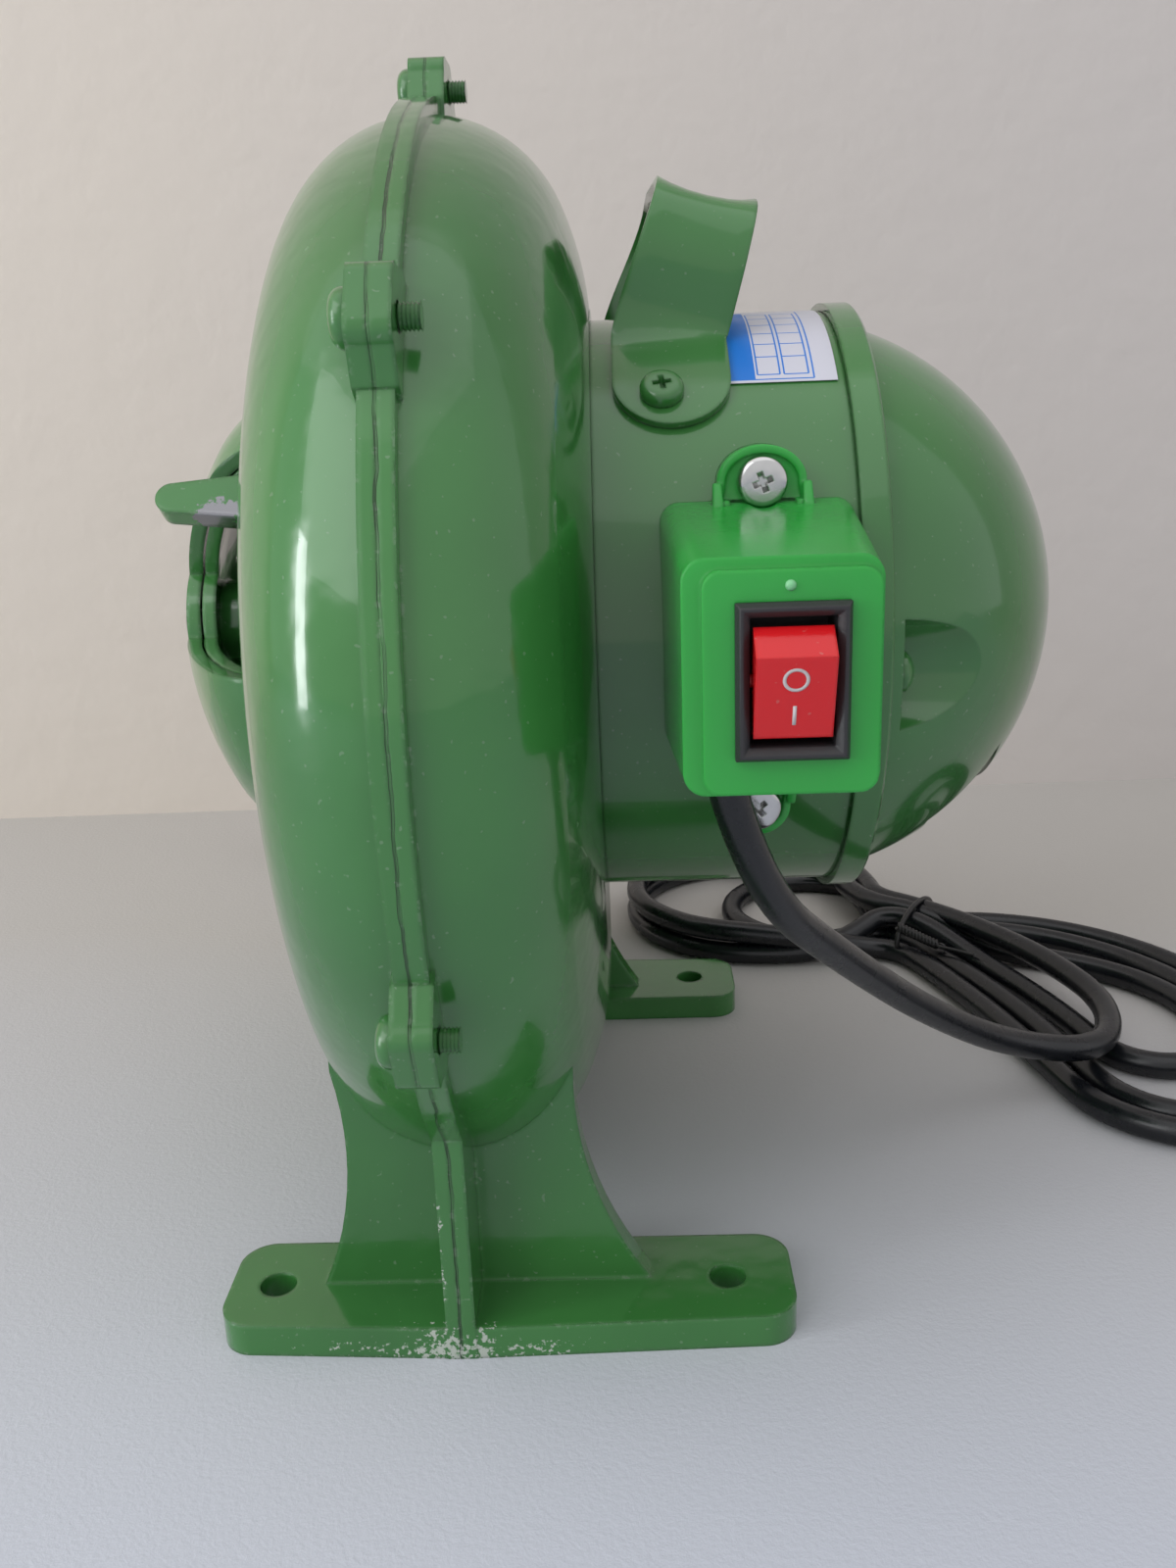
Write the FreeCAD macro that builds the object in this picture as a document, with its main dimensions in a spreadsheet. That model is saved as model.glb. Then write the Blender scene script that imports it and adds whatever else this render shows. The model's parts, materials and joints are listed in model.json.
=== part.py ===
import FreeCAD, Part
import math
import os

import Sketcher
from FreeCAD import Placement, Rotation, Vector

# Electric centrifugal forge blower: two cast volute halves on cast feet, an induction motor in a
# round barrel behind them, a domed air intake with a turning shutter in front.
# Millimetres. +X runs along the motor axis towards the motor, +Z is up, the outlet points to +Y.
# The origin is the centre of the foot bolt pattern, on the floor.

doc = FreeCAD.newDocument("forge_blower")
sheet = doc.addObject("Spreadsheet::Sheet", "dims")

SIZES = {
    # places
    "axis_height": 115,
    "split_x": -6,
    # scroll: four quarter turns, each about a centre one step further round a small square
    "scroll_start": 78.5,
    "scroll_step": 9.5,
    "rim_depth": 36,
    "half_width": 26.5,
    "crown_radius": 24,
    "casing_wall": 3.5,
    "flange_lip": 2.5,
    "flange_half": 2.5,
    "outlet_radius": 25,
    "outlet_wall": 3.5,
    "outlet_round": 62,
    "outlet_end": 112,
    "spigot_start": 80,
    "spigot_step": 1,
    "lug_half_width": 3.1,
    "lug_height": 7,
    "lug_foot": 9,
    "lug_top": 6,
    "bolt_radius": 2,
    "bolt_fit": 0.12,
    "bolt_above_lip": 2,
    "bolt_head_radius": 4,
    "bolt_head_height": 2.5,
    "bolt_end": 2.7,
    # feet
    "foot_front": 42.5,
    "foot_back": 57.5,
    "foot_inner": 50,
    "foot_outer": 73,
    "foot_bulge": 1.8,
    "foot_thick": 6,
    "foot_corner": 6,
    "foot_hole_radius": 3.25,
    "foot_hole_pitch": 80,
    "foot_row_pitch": 124,
    "web_outer": 62,
    "web_thick": 5,
    "rib_height": 44,
    "web_front_low": 25.5,
    "web_front_high": 21.1,
    "web_back_low": 32.5,
    "web_back_high": 20.2,
    "web_top": 56,
    "web_sweep": 67,
    # intake
    "seat_radius": 45.5,
    "seat_thick": 8,
    "seat_clear": 0.3,
    "seat_gap": 0.03,
    "rim_height": 4.7,
    "eye_radius": 34,
    "grille_radius": 40.8,
    "grille_height": 23.4,
    "grille_corner": 15.5,
    "grille_wall": 2.5,
    "shutter_gap": 0.4,
    "shutter_wall": 2.6,
    "window_angle": 58,
    "window_inner": 13,
    "window_middle": 25,
    "hub_radius": 8,
    "pivot_radius": 2.5,
    "running_gap": 0.06,
    "pivot_length": 9,
    "washer_thick": 0.5,
    "lever_angle": 37,
    "lever_length": 17.5,
    "lever_thick": 7,
    "lever_depth": 4,
    # impeller and shaft
    "shaft_radius": 5,
    "impeller_radius": 60,
    "impeller_width": 23,
    "impeller_eye": 34,
    "impeller_sheet": 1.5,
    "impeller_back": 11,
    "blade_count": 8,
    "bearing_radius": 11,
    "bearing_width": 6,
    "bearing_inset": 1,
    # motor
    "barrel_radius": 54,
    "barrel_wall": 2,
    "barrel_end": 68.5,
    "collar_lip": 1.5,
    "collar_end": 73.5,
    "dome_inset": 0.4,
    "dome_centre": 58.4,
    "dome_wall": 2.5,
    "pocket_radius": 10,
    "stator_depth": 24,
    "stator_slots": 12,
    "stator_length": 24,
    "stator_inset": 11,
    "rotor_gap": 0.4,
    "winding_reach": 4,
    "tie_bolt_inset": 7,
    "tie_bolt_turn": 5,
    "shield_thick": 2.5,
    "vent_x": 92.5,
    "vent_length": 12.5,
    "vent_width": 54,
    "fan_reach": 26,
    "fan_start": 14,
    "fan_radius": 28,
    # handle
    "strap_width": 19.5,
    "strap_thick": 1.5,
    "strap_x": 39.9,
    "strap_rise": 26,
    "strap_lean": 14.5,
    "strap_screw_angle": 48,
    "strap_end_angle": 51.3,
    "strap_screw_x": 38.2,
    "strap_bend_angle": 66,
    # switch
    "box_reach": 38,
    "box_wall": 2,
    "box_screw_rise": 27.6,
    "box_screw_drop": 24.4,
    "plinth_height": 1.5,
    "switch_body_width": 12.9,
    "switch_body_height": 18.9,
    "switch_body_depth": 13,
    "rocker_tilt": 14,
    # cord
    "cord_x": 45,
    "cord_depth": 17,
    "cord_radius": 3,
    "gland_radius": 4.4,
    "gland_drop": 19.4,
    "gland_length": 10,
    "coil_x": 72.5,
    "coil_y": 117,
    "coil_radius": 38,
    "coil_height": 12.6,
    "neck_x": 112,
    "neck_y": 91.5,
    "neck_half_width": 14.2,
    "neck_angle": -32,
    "tie_thick": 1,
    "plug_radius": 18.5,
    "plug_length": 46,
    "plug_tilt": 22,
    "plug_turn": 26,
    "pin_pitch": 19,
    "pin_length": 19,
    "pin_radius": 2.4,
    "switch_x": 52.5,
    "switch_z": 5.4,
}


class Size:
    """A length that carries its value and the sheet formula that it comes from."""

    def __init__(self, value, text):
        self.value = float(value)
        self.text = text

    def join(self, other, sign, value):
        return Size(value, f"({self.text} {sign} {as_size(other).text})")

    def __add__(self, other):
        return self.join(other, "+", self.value + as_size(other).value)

    def __sub__(self, other):
        return self.join(other, "-", self.value - as_size(other).value)

    def __mul__(self, other):
        return self.join(other, "*", self.value * as_size(other).value)

    def __truediv__(self, other):
        return self.join(other, "/", self.value / as_size(other).value)

    def __radd__(self, other):
        return as_size(other) + self

    def __rsub__(self, other):
        return as_size(other) - self

    def __rmul__(self, other):
        return as_size(other) * self

    def __neg__(self):
        return Size(-self.value, f"(-1 * {self.text})")

    def root(self):
        return Size(math.sqrt(self.value), f"sqrt({self.text})")


def as_size(value):
    return value if isinstance(value, Size) else Size(value, repr(value))


def fill_sheet():
    for row, (name, value) in enumerate(SIZES.items(), start=1):
        sheet.set(f"A{row}", name)
        sheet.set(f"B{row}", str(value))
        sheet.setAlias(f"B{row}", name)
    doc.recompute()


class Cells:
    """Every named value of the sheet, as a Size."""

    def __init__(self):
        for name, value in SIZES.items():
            setattr(self, name, Size(value, f"dims.{name}"))


fill_sheet()
d = Cells()
d.bearing_seat = d.half_width - d.bearing_inset
d.collar_radius = d.barrel_radius + d.collar_lip
d.dome_radius = d.barrel_radius - d.dome_inset
d.stator_inner = d.barrel_radius - d.barrel_wall - d.stator_depth
d.tie_bolt_circle = d.barrel_radius - d.tie_bolt_inset
d.box_front = d.barrel_radius + d.box_reach
d.stator_start = d.half_width + d.stator_inset
d.cord_y = d.box_front - d.cord_depth


# ---------------------------------------------------------------- sketches

def new_body(name, roll=0):
    """A body that stands at the split plane on the motor axis, turned about that axis by roll."""
    body = doc.addObject("PartDesign::Body", name)
    body.Label = name
    place = Vector(d.split_x.value, 0, d.axis_height.value)
    body.Placement = Placement(place, Rotation(Vector(1, 0, 0), roll))
    body.setExpression(".Placement.Base.x", d.split_x.text)
    body.setExpression(".Placement.Base.z", d.axis_height.text)
    return body


def new_sketch(body, plane, shift=(0, 0, 0), turn=0):
    """A sketch on an origin plane of its body, moved in its own axes and turned about its normal."""
    sketch = body.newObject("Sketcher::SketchObject", "sketch")
    role = {"XY": "XY_Plane", "XZ": "XZ_Plane", "YZ": "YZ_Plane"}[plane]
    origin = next(f for f in body.Origin.OriginFeatures if f.Role == role)
    sketch.AttachmentSupport = [(origin, "")]
    sketch.MapMode = "FlatFace"
    shift = [as_size(s) for s in shift]
    place = Vector(*[s.value for s in shift])
    sketch.AttachmentOffset = Placement(place, Rotation(Vector(0, 0, 1), turn))
    for axis, size in zip("xyz", shift):
        sketch.setExpression(f".AttachmentOffset.Base.{axis}", size.text)
    return sketch


def hold(sketch, geo, pos, point):
    """Ties a point of a sketch to the sheet."""
    for kind, axis, size in (("DistanceX", -2, point[0]), ("DistanceY", -1, point[1])):
        size = as_size(size)
        if abs(size.value) < 1e-9:
            sketch.addConstraint(Sketcher.Constraint("PointOnObject", geo, pos, axis))
        else:
            number = sketch.addConstraint(Sketcher.Constraint(kind, geo, pos, size.value))
            sketch.setExpression(f"Constraints[{number}]", size.text)


def outline(sketch, start, *path):
    """A closed outline from start. A step is (x, y), or (x, y, radius, side) for an arc.

    side is 1 where the arc's centre lies to the left of the way along it, and -1 to the right.
    """
    points = [start] + [step[:2] for step in path]
    values = [Vector(as_size(p[0]).value, as_size(p[1]).value, 0) for p in points]
    ends = []
    for i, step in enumerate(path):
        a, b = values[i], values[i + 1]
        if len(step) == 2:
            geo = sketch.addGeometry(Part.LineSegment(a, b), False)
            ends.append((geo, 1, 2))
            continue
        radius, side = as_size(step[2]), step[3]
        along = b - a
        left = Vector(-along.y, along.x, 0).normalize()
        reach = math.sqrt(max(radius.value ** 2 - along.Length ** 2 / 4, 0))
        centre = (a + b) * 0.5 + left * (side * reach)
        first, last = (a, b) if side > 0 else (b, a)
        angles = [math.atan2(p.y - centre.y, p.x - centre.x) for p in (first, last)]
        circle = Part.Circle(centre, Vector(0, 0, 1), radius.value)
        geo = sketch.addGeometry(Part.ArcOfCircle(circle, angles[0], angles[1]), False)
        number = sketch.addConstraint(Sketcher.Constraint("Radius", geo, radius.value))
        sketch.setExpression(f"Constraints[{number}]", radius.text)
        ends.append((geo, 1, 2) if side > 0 else (geo, 2, 1))
    for i, (geo, first, last) in enumerate(ends):
        following = ends[(i + 1) % len(ends)]
        meet = Sketcher.Constraint("Coincident", geo, last, following[0], following[1])
        sketch.addConstraint(meet)
        hold(sketch, geo, first, points[i])
    return sketch


def circle(sketch, x, y, radius):
    x, y, radius = as_size(x), as_size(y), as_size(radius)
    shape = Part.Circle(Vector(x.value, y.value, 0), Vector(0, 0, 1), radius.value)
    geo = sketch.addGeometry(shape, False)
    hold(sketch, geo, 3, (x, y))
    number = sketch.addConstraint(Sketcher.Constraint("Radius", geo, radius.value))
    sketch.setExpression(f"Constraints[{number}]", radius.text)
    return sketch


def rectangle(sketch, x0, y0, x1, y1):
    return outline(sketch, (x0, y0), (x1, y0), (x1, y1), (x0, y1), (x0, y0))


# ---------------------------------------------------------------- features

def feature(body, kind, profile, **settings):
    item = body.newObject(f"PartDesign::{kind}", kind.lower())
    item.Profile = profile
    for key, value in settings.items():
        if isinstance(value, Size):
            setattr(item, key, value.value)
            item.setExpression(key, value.text)
        else:
            setattr(item, key, value)
    profile.Visibility = False
    return item


def turn_about_x(body, profile, angle=360, cut=False, back=False):
    kind = "Groove" if cut else "Revolution"
    item = feature(body, kind, profile, ReferenceAxis=(profile, ["H_Axis"]), Angle=angle)
    item.Reversed = back
    return item


def pad(body, profile, length, back=False, middle=False):
    return feature(body, "Pad", profile, Length=as_size(length), Reversed=back, Midplane=middle)


def pocket(body, profile, length, back=False, middle=False):
    return feature(body, "Pocket", profile, Length=as_size(length), Reversed=back, Midplane=middle)


def repeat(body, item, sketch, count):
    """Copies a feature round the normal of a sketch."""
    pattern = body.newObject("PartDesign::PolarPattern", "pattern")
    pattern.Originals = [item]
    pattern.Axis = (sketch, ["N_Axis"])
    pattern.Angle = 360
    if isinstance(count, Size):
        pattern.Occurrences = int(count.value)
        pattern.setExpression("Occurrences", count.text)
    else:
        pattern.Occurrences = count
    body.Tip = pattern
    return pattern


def turned(name, start, *path):
    """A round body about the motor axis: the outline is in (x, radius)."""
    body = new_body(name)
    turn_about_x(body, outline(new_sketch(body, "XY"), start, *path))
    return body


def ring(name, x0, x1, inner, outer):
    return turned(name, (x0, inner), (x1, inner), (x1, outer), (x0, outer), (x0, inner))


# ---------------------------------------------------------------- volute casing

def blend_point(radius, depth, half, crown, corner, rho):
    """Where the crown arc of the rim runs into its side arc, at that crown radius."""
    share = radius / (corner - crown)
    return share * (corner - half), rho - crown + share * (depth - crown)


bearing_end = d.bearing_seat + d.bearing_width
crown = d.crown_radius
corner = (d.half_width * d.half_width + (d.rim_depth - crown) * (d.rim_depth - crown)
          - crown * crown) / (2 * (d.half_width - crown))
half_step = d.scroll_step / 2


def quarters():
    """The four quarter turns: sketch plane, start direction, centre (y, z) and crown radius."""
    h = half_step
    return [
        ("XZ", -1, (h, h), d.scroll_start - h),
        ("XY", 1, (-h, h), d.scroll_start + h),
        ("XZ", 1, (-h, -h), d.scroll_start + 3 * h),
        ("XY", -1, (h, -h), d.scroll_start + 5 * h),
    ]


def quarter_sketch(body, plane, centre):
    y, z = centre
    return new_sketch(body, plane, (0, y, z) if plane == "XY" else (0, z, -y))


def rim_outline(sketch, side, up, rho, wall=None):
    """Half of the rim's section, with the flange, or with wall the space inside it."""
    def at(x, r):
        return side * as_size(x), up * as_size(r)

    take = as_size(0) if wall is None else wall
    tip = blend_point(crown - take, d.rim_depth, d.half_width, crown, corner, rho)
    bend = -side * up
    if wall is None:
        foot = rho - crown + (crown * crown - d.flange_half * d.flange_half).root()
        steps = [at(0, rho + d.flange_lip), at(d.flange_half, rho + d.flange_lip),
                 at(d.flange_half, foot)]
    else:
        steps = [at(0, rho - take)]
    edge = at(d.half_width - take, rho - d.rim_depth)
    steps.append((*at(*tip), crown - take, bend))
    steps.append((*edge, corner - take, bend))
    steps += [at(d.half_width - take, 0), (0, 0)]
    return outline(sketch, (0, 0), *steps)


duct_low = -(d.scroll_start + 6 * half_step)
duct_middle = duct_low + d.outlet_radius


def duct_sketch(body, side, y, round_end, take=0):
    """Half of the duct's section at y: the rim's own curve, or the round of the outlet."""
    take = as_size(take)
    sketch = new_sketch(body, "XZ", (0, 0, -y))
    low, high = duct_low + take, duct_low + 2 * d.outlet_radius - take
    if round_end:
        radius = d.outlet_radius - take
        tip = (radius * 0.8, duct_middle - radius * 0.6)
        steps = [(*tip, radius), (radius, duct_middle, radius), (0, high, radius)]
    else:
        tip_x, tip_r = blend_point(crown - take, d.rim_depth, d.half_width, crown, corner,
                                   as_size(0))
        steps = [(tip_x, duct_low - tip_r, crown - take),
                 (d.half_width - take, duct_low + d.rim_depth, corner - take),
                 (0, high, d.half_width + 4)]
    path = [(side * x, z, r, side) for x, z, r in steps]
    return outline(sketch, (0, low), *path, (0, low))


def duct(body, side, take=None):
    """The way from the scroll's widest section to the round outlet."""
    cut = take is not None
    first = duct_sketch(body, side, half_step, False, take or 0)
    last = duct_sketch(body, side, d.outlet_round, True, take or 0)
    loft = body.newObject("PartDesign::" + ("SubtractiveLoft" if cut else "AdditiveLoft"), "duct")
    loft.Profile = first
    loft.Sections = [last]
    loft.Ruled = True
    for start, end, step in ((d.outlet_round, d.spigot_start, 0),
                             (d.spigot_start - 1, d.outlet_end, d.spigot_step)):
        if cut:
            pocket(body, duct_sketch(body, side, start, True, take), end + 1 - start)
        else:
            pad(body, duct_sketch(body, side, start, True, step), end - start, back=True)


def lug_sites():
    """The five lugs: which quarter turn, and the angle from +Y towards +Z about its centre."""
    return [(1, 90), (2, 144), (3, 202), (1, 36), (0, -22)]


def on_lug(site, above):
    """A point on a lug, that far above the flange, in (y, z) from the motor axis."""
    quarter, angle = site
    _, _, centre, rho = quarters()[quarter]
    reach = (rho + d.flange_lip + above).value
    turn = math.radians(angle)
    return (as_size(centre[0]).value + reach * math.cos(turn),
            as_size(centre[1]).value + reach * math.sin(turn))


def lugs(body, side):
    for quarter, angle in lug_sites():
        _, _, centre, rho = quarters()[quarter]
        sketch = new_sketch(body, "YZ", (*centre, 0), angle)
        edge, top = rho + d.flange_lip, rho + d.flange_lip + d.lug_height
        round_top = as_size(2.5)
        outline(sketch, (edge - 4, -d.lug_foot), (edge, -d.lug_foot),
                (top - round_top, -d.lug_top), (top, -d.lug_top + round_top, round_top, 1),
                (top, d.lug_top - round_top), (top - round_top, d.lug_top, round_top, 1),
                (edge, d.lug_foot), (edge - 4, d.lug_foot), (edge - 4, -d.lug_foot))
        pad(body, sketch, d.lug_half_width, back=side < 0)
        hole = new_sketch(body, "YZ", (*centre, 0), angle)
        circle(hole, edge + d.bolt_above_lip, 0, d.bolt_radius + d.bolt_fit)
        pocket(body, hole, 4 * d.lug_half_width, middle=True)


def feet(body, side):
    """A foot plate and its web under each side of the casing, and the rib down its split."""
    reach = d.foot_front if side < 0 else d.foot_back
    low = d.web_front_low if side < 0 else d.web_back_low
    high = d.web_front_high if side < 0 else d.web_back_high
    floor = -d.axis_height
    for hand in (-1, 1):
        plate = new_sketch(body, "XY", (0, 0, floor))
        outer, inner, turn = d.foot_outer, d.foot_inner, d.foot_corner
        way = -side * hand
        outline(plate, (0, hand * inner), (side * (reach - turn), hand * inner),
                (side * reach, hand * (inner + turn), turn, -way),
                (side * reach, hand * (outer - turn)),
                (side * (reach - turn), hand * outer, turn, -way),
                (0, hand * (outer + d.foot_bulge)), (0, hand * inner))
        pad(body, plate, d.foot_thick)
        web = new_sketch(body, "XZ", (0, 0, -hand * d.web_outer))
        outline(web, (0, floor), (side * low, floor), (side * low, floor + d.foot_thick),
                (side * high, floor + d.web_top - 8, d.web_sweep, -side),
                (side * high, floor + d.web_top), (0, floor + d.web_top), (0, floor))
        pad(body, web, d.web_thick, back=hand < 0)
    rib = new_sketch(body, "YZ")
    edge = -(d.foot_outer + d.foot_bulge)
    outline(rib, (edge, floor), (d.web_thick - d.web_outer, floor),
            (d.web_thick - d.web_outer, floor + d.rib_height), (edge, floor + d.rib_height),
            (edge, floor))
    pad(body, rib, d.flange_half, back=side < 0)


def foot_holes(body, side):
    shift = -d.split_x
    for hand in (-1, 1):
        hole = new_sketch(body, "XY", (0, 0, -d.axis_height))
        circle(hole, shift + side * d.foot_hole_pitch / 2, hand * d.foot_row_pitch / 2,
               d.foot_hole_radius)
        pocket(body, hole, d.foot_thick + 1, back=True)


def volute_half(name, side):
    body = new_body(name)
    disc = new_sketch(body, "YZ", (0, 0, side * d.half_width))
    circle(disc, 0, 0, d.seat_radius if side < 0 else d.barrel_radius + 2)
    pad(body, disc, d.seat_thick, back=side > 0)
    for plane, up, centre, rho in quarters():
        sketch = rim_outline(quarter_sketch(body, plane, centre), side, up, rho)
        turn_about_x(body, sketch, 90)
    duct(body, side)
    feet(body, side)
    lips(body, side)
    for plane, up, centre, rho in quarters():
        sketch = quarter_sketch(body, plane, centre)
        turn_about_x(body, rim_outline(sketch, side, up, rho, d.casing_wall), 90, cut=True)
    duct(body, side, d.outlet_wall)
    middle = new_sketch(body, "YZ", (0, 0, 0))
    circle(middle, 0, 0, d.scroll_step)
    pocket(body, middle, d.half_width - d.casing_wall, back=side > 0)
    lugs(body, side)
    foot_holes(body, side)
    return body


def lips(body, side):
    """The flange goes on below and above the duct, and leaves the outlet's end plain."""
    high = duct_low + 2 * d.outlet_radius
    for low, top, start in ((duct_low - d.flange_lip, duct_low + 1, half_step),
                            (high - 1, high + d.flange_lip, d.outlet_radius * 1.6)):
        sketch = new_sketch(body, "XZ", (0, 0, -start))
        rectangle(sketch, 0, low, side * d.flange_half, top)
        pad(body, sketch, d.outlet_round + 5 - start, back=True)


def bore(body, x, radius, length, site=(0, 0)):
    """A round cut along the motor axis, from x towards -X, at a site in (y, z)."""
    sketch = new_sketch(body, "YZ", (*site, x))
    circle(sketch, 0, 0, radius)
    return pocket(body, sketch, length)


def boss(body, x, radius, length, site=(0, 0)):
    sketch = new_sketch(body, "YZ", (*site, x))
    circle(sketch, 0, 0, radius)
    return pad(body, sketch, length)


def tie_bolt_sites():
    """The two long bolts that hold the motor together, in (y, z) from its axis."""
    turn = math.radians(d.tie_bolt_turn.value)
    return [(d.tie_bolt_circle * (hand * math.cos(turn)),
             d.tie_bolt_circle * (hand * math.sin(turn))) for hand in (-1, 1)]


def front_half():
    body = volute_half("front_volute_half", -1)
    bore(body, -d.half_width + 8, d.eye_radius, as_size(10))


def rear_half():
    """Carries the front bearing, the register that centres the barrel, and the tie bolts."""
    body = volute_half("rear_volute_half", 1)
    boss(body, d.half_width - d.casing_wall, d.bearing_radius + 4,
         bearing_end - d.half_width + d.casing_wall)
    register = new_sketch(body, "YZ", (0, 0, d.half_width - 1))
    circle(register, 0, 0, d.barrel_radius - d.barrel_wall - d.seat_gap)
    circle(register, 0, 0, d.barrel_radius - d.barrel_wall - 3)
    pad(body, register, as_size(4))
    for site in tie_bolt_sites():
        boss(body, d.half_width - 1, d.bolt_head_radius, d.bolt_head_radius + 2, site)
        bore(body, d.half_width + 6, d.bolt_radius + d.bolt_fit, as_size(7), site)
    bore(body, bearing_end + 1, d.bearing_radius + d.seat_gap, bearing_end + 1 - d.bearing_seat)
    bore(body, bearing_end, d.shaft_radius + 2.5, as_size(20))


# ---------------------------------------------------------------- groups of equal pieces

def group(name, template, places):
    """One node of separate equal solids, at places given from the split plane and motor axis."""
    doc.recompute()
    item = doc.addObject("Part::Feature", name)
    item.Label = name
    shapes = []
    for place in places:
        copy = template.Shape.copy()
        copy.Placement = place
        shapes.append(copy)
    item.Shape = Part.makeCompound(shapes)
    item.Placement = Placement(Vector(d.split_x.value, 0, d.axis_height.value), Rotation())
    return item


def screw(name, head_radius, head_height, radius, length):
    """A screw along +X: the head's underside is at 0, the head reaches to -X."""
    head_radius, head_height = as_size(head_radius), as_size(head_height)
    radius, length = as_size(radius), as_size(length)
    body = doc.addObject("PartDesign::Body", name)
    body.Label = name
    edge = head_height * 0.35
    arc = (head_radius * head_radius + (head_height - edge) * (head_height - edge)) / (
        2 * (head_height - edge))
    turn_about_x(body, outline(new_sketch(body, "XY"), (-head_height, 0),
                               (-edge, head_radius, arc, -1), (0, head_radius), (0, radius),
                               (length, radius), (length, 0), (-head_height, 0)))
    return body


def casing_bolts():
    bolt = screw("casing_bolt", d.bolt_head_radius, d.bolt_head_height, d.bolt_radius,
                 2 * d.lug_half_width + d.bolt_end)
    places = []
    for site in lug_sites():
        y, z = on_lug(site, d.bolt_above_lip)
        places.append(Placement(Vector(-d.lug_half_width.value, y, z), Rotation()))
    group("casing_bolts", bolt, places)


# ---------------------------------------------------------------- intake

dome_x = -(d.half_width + d.seat_clear)


def dome_outline(inner, outer, hole):
    """A domed shell's half section, between two offsets from the grille's own outside."""
    a, b, small = d.grille_radius, d.grille_height, d.grille_corner
    large = (a * a + b * b - 2 * a * small) / (2 * (b - small))
    reach = large - small

    def side_point(offset):
        share = (large + offset) / reach
        return dome_x - b + large + share * (b - large), share * (a - small)

    def apex(offset):
        depth = large + offset
        return dome_x - b + large - (depth * depth - hole * hole).root(), hole

    inner, outer, hole = as_size(inner), as_size(outer), as_size(hole)
    return [(dome_x, a + inner), (dome_x, a + outer),
            (*side_point(outer), small + outer, 1), (*apex(outer), large + outer, 1),
            apex(inner), (*side_point(inner), large + inner, -1),
            (dome_x, a + inner, small + inner, -1)]


def windows(body, start, shift):
    """Sector windows round the dome, open down to a plain rim."""
    half = math.radians(d.window_angle.value / 2)
    near, far = d.window_inner, d.grille_radius + 12
    sketch = new_sketch(body, "YZ", (0, 0, start), shift)
    cos, sin = math.cos(half), math.sin(half)
    outline(sketch, (near * cos, near * -sin), (far * cos, far * -sin),
            (far * cos, far * sin, far, 1), (near * cos, near * sin),
            (near * cos, near * -sin, near, -1))
    cut = pocket(body, sketch, as_size(40))
    repeat(body, cut, sketch, 3)


def intake_grille():
    """The fixed inner dome, on the eye of the front half."""
    body = new_body("intake_grille")
    turn_about_x(body, outline(new_sketch(body, "XY"), *dome_outline(-d.grille_wall, 0, 0.5)))
    face = -d.half_width
    rim = rectangle(new_sketch(body, "XY"), dome_x - 1.2, d.eye_radius - 3, face, d.grille_radius)
    turn_about_x(body, rim)
    spigot = rectangle(new_sketch(body, "XY"), face - 0.5, d.eye_radius - 3, face + 3,
                       d.eye_radius - d.seat_gap)
    turn_about_x(body, spigot)
    windows(body, dome_x - d.rim_height, 180 - d.window_middle.value)
    hub = dome_x - d.grille_height + 0.8
    boss(body, hub, d.hub_radius, as_size(7))
    bore(body, dome_x, d.pivot_radius + d.seat_gap, as_size(40))
    return body


def intake_shutter():
    """The outer dome that turns on the pivot screw, with its cast lever."""
    body = new_body("intake_shutter", roll=-d.lever_angle.value)
    gap, wall = d.shutter_gap, d.shutter_wall
    turn_about_x(body, outline(new_sketch(body, "XY"),
                               *dome_outline(gap, gap + wall, d.pivot_radius + d.running_gap)))
    windows(body, dome_x - d.rim_height, 180 - d.window_middle.value + d.lever_angle.value)
    root = d.grille_radius + gap + 0.02
    tip = d.lever_thick * 0.4
    end = dome_x - d.lever_length
    lever = new_sketch(body, "XZ", (0, 0, root))
    outline(lever, (dome_x, -d.lever_thick * 0.7), (dome_x, d.lever_thick * 0.65), (end, tip),
            (end - tip, 0, tip, 1), (end, -tip, tip, 1), (dome_x, -d.lever_thick * 0.7))
    pad(body, lever, d.lever_depth)
    return body


def pivot():
    """The shutter's pivot screw and the spring washer that keeps the shutter where it is set."""
    top = dome_x - d.grille_height - d.shutter_gap - d.shutter_wall
    start = top - 0.05
    washer = new_body("pivot_washer")
    sketch = rectangle(new_sketch(washer, "XY"), start - d.washer_thick, d.pivot_radius + 0.1,
                       start, d.pivot_radius + 2.6)
    turn_about_x(washer, sketch)
    head = start - d.washer_thick
    body = new_body("pivot_screw")
    side, high = d.pivot_radius + 2, as_size(2)
    arc = (side * side + (high - 0.7) * (high - 0.7)) / (2 * (high - 0.7))
    turn_about_x(body, outline(new_sketch(body, "XY"), (head - high, 0), (head, 0),
                               (head, side), (head - 0.7, side), (head - high, 0, arc, 1)))
    boss(body, head - 0.01, d.pivot_radius, d.pivot_length)


# ---------------------------------------------------------------- impeller and shaft

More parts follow.
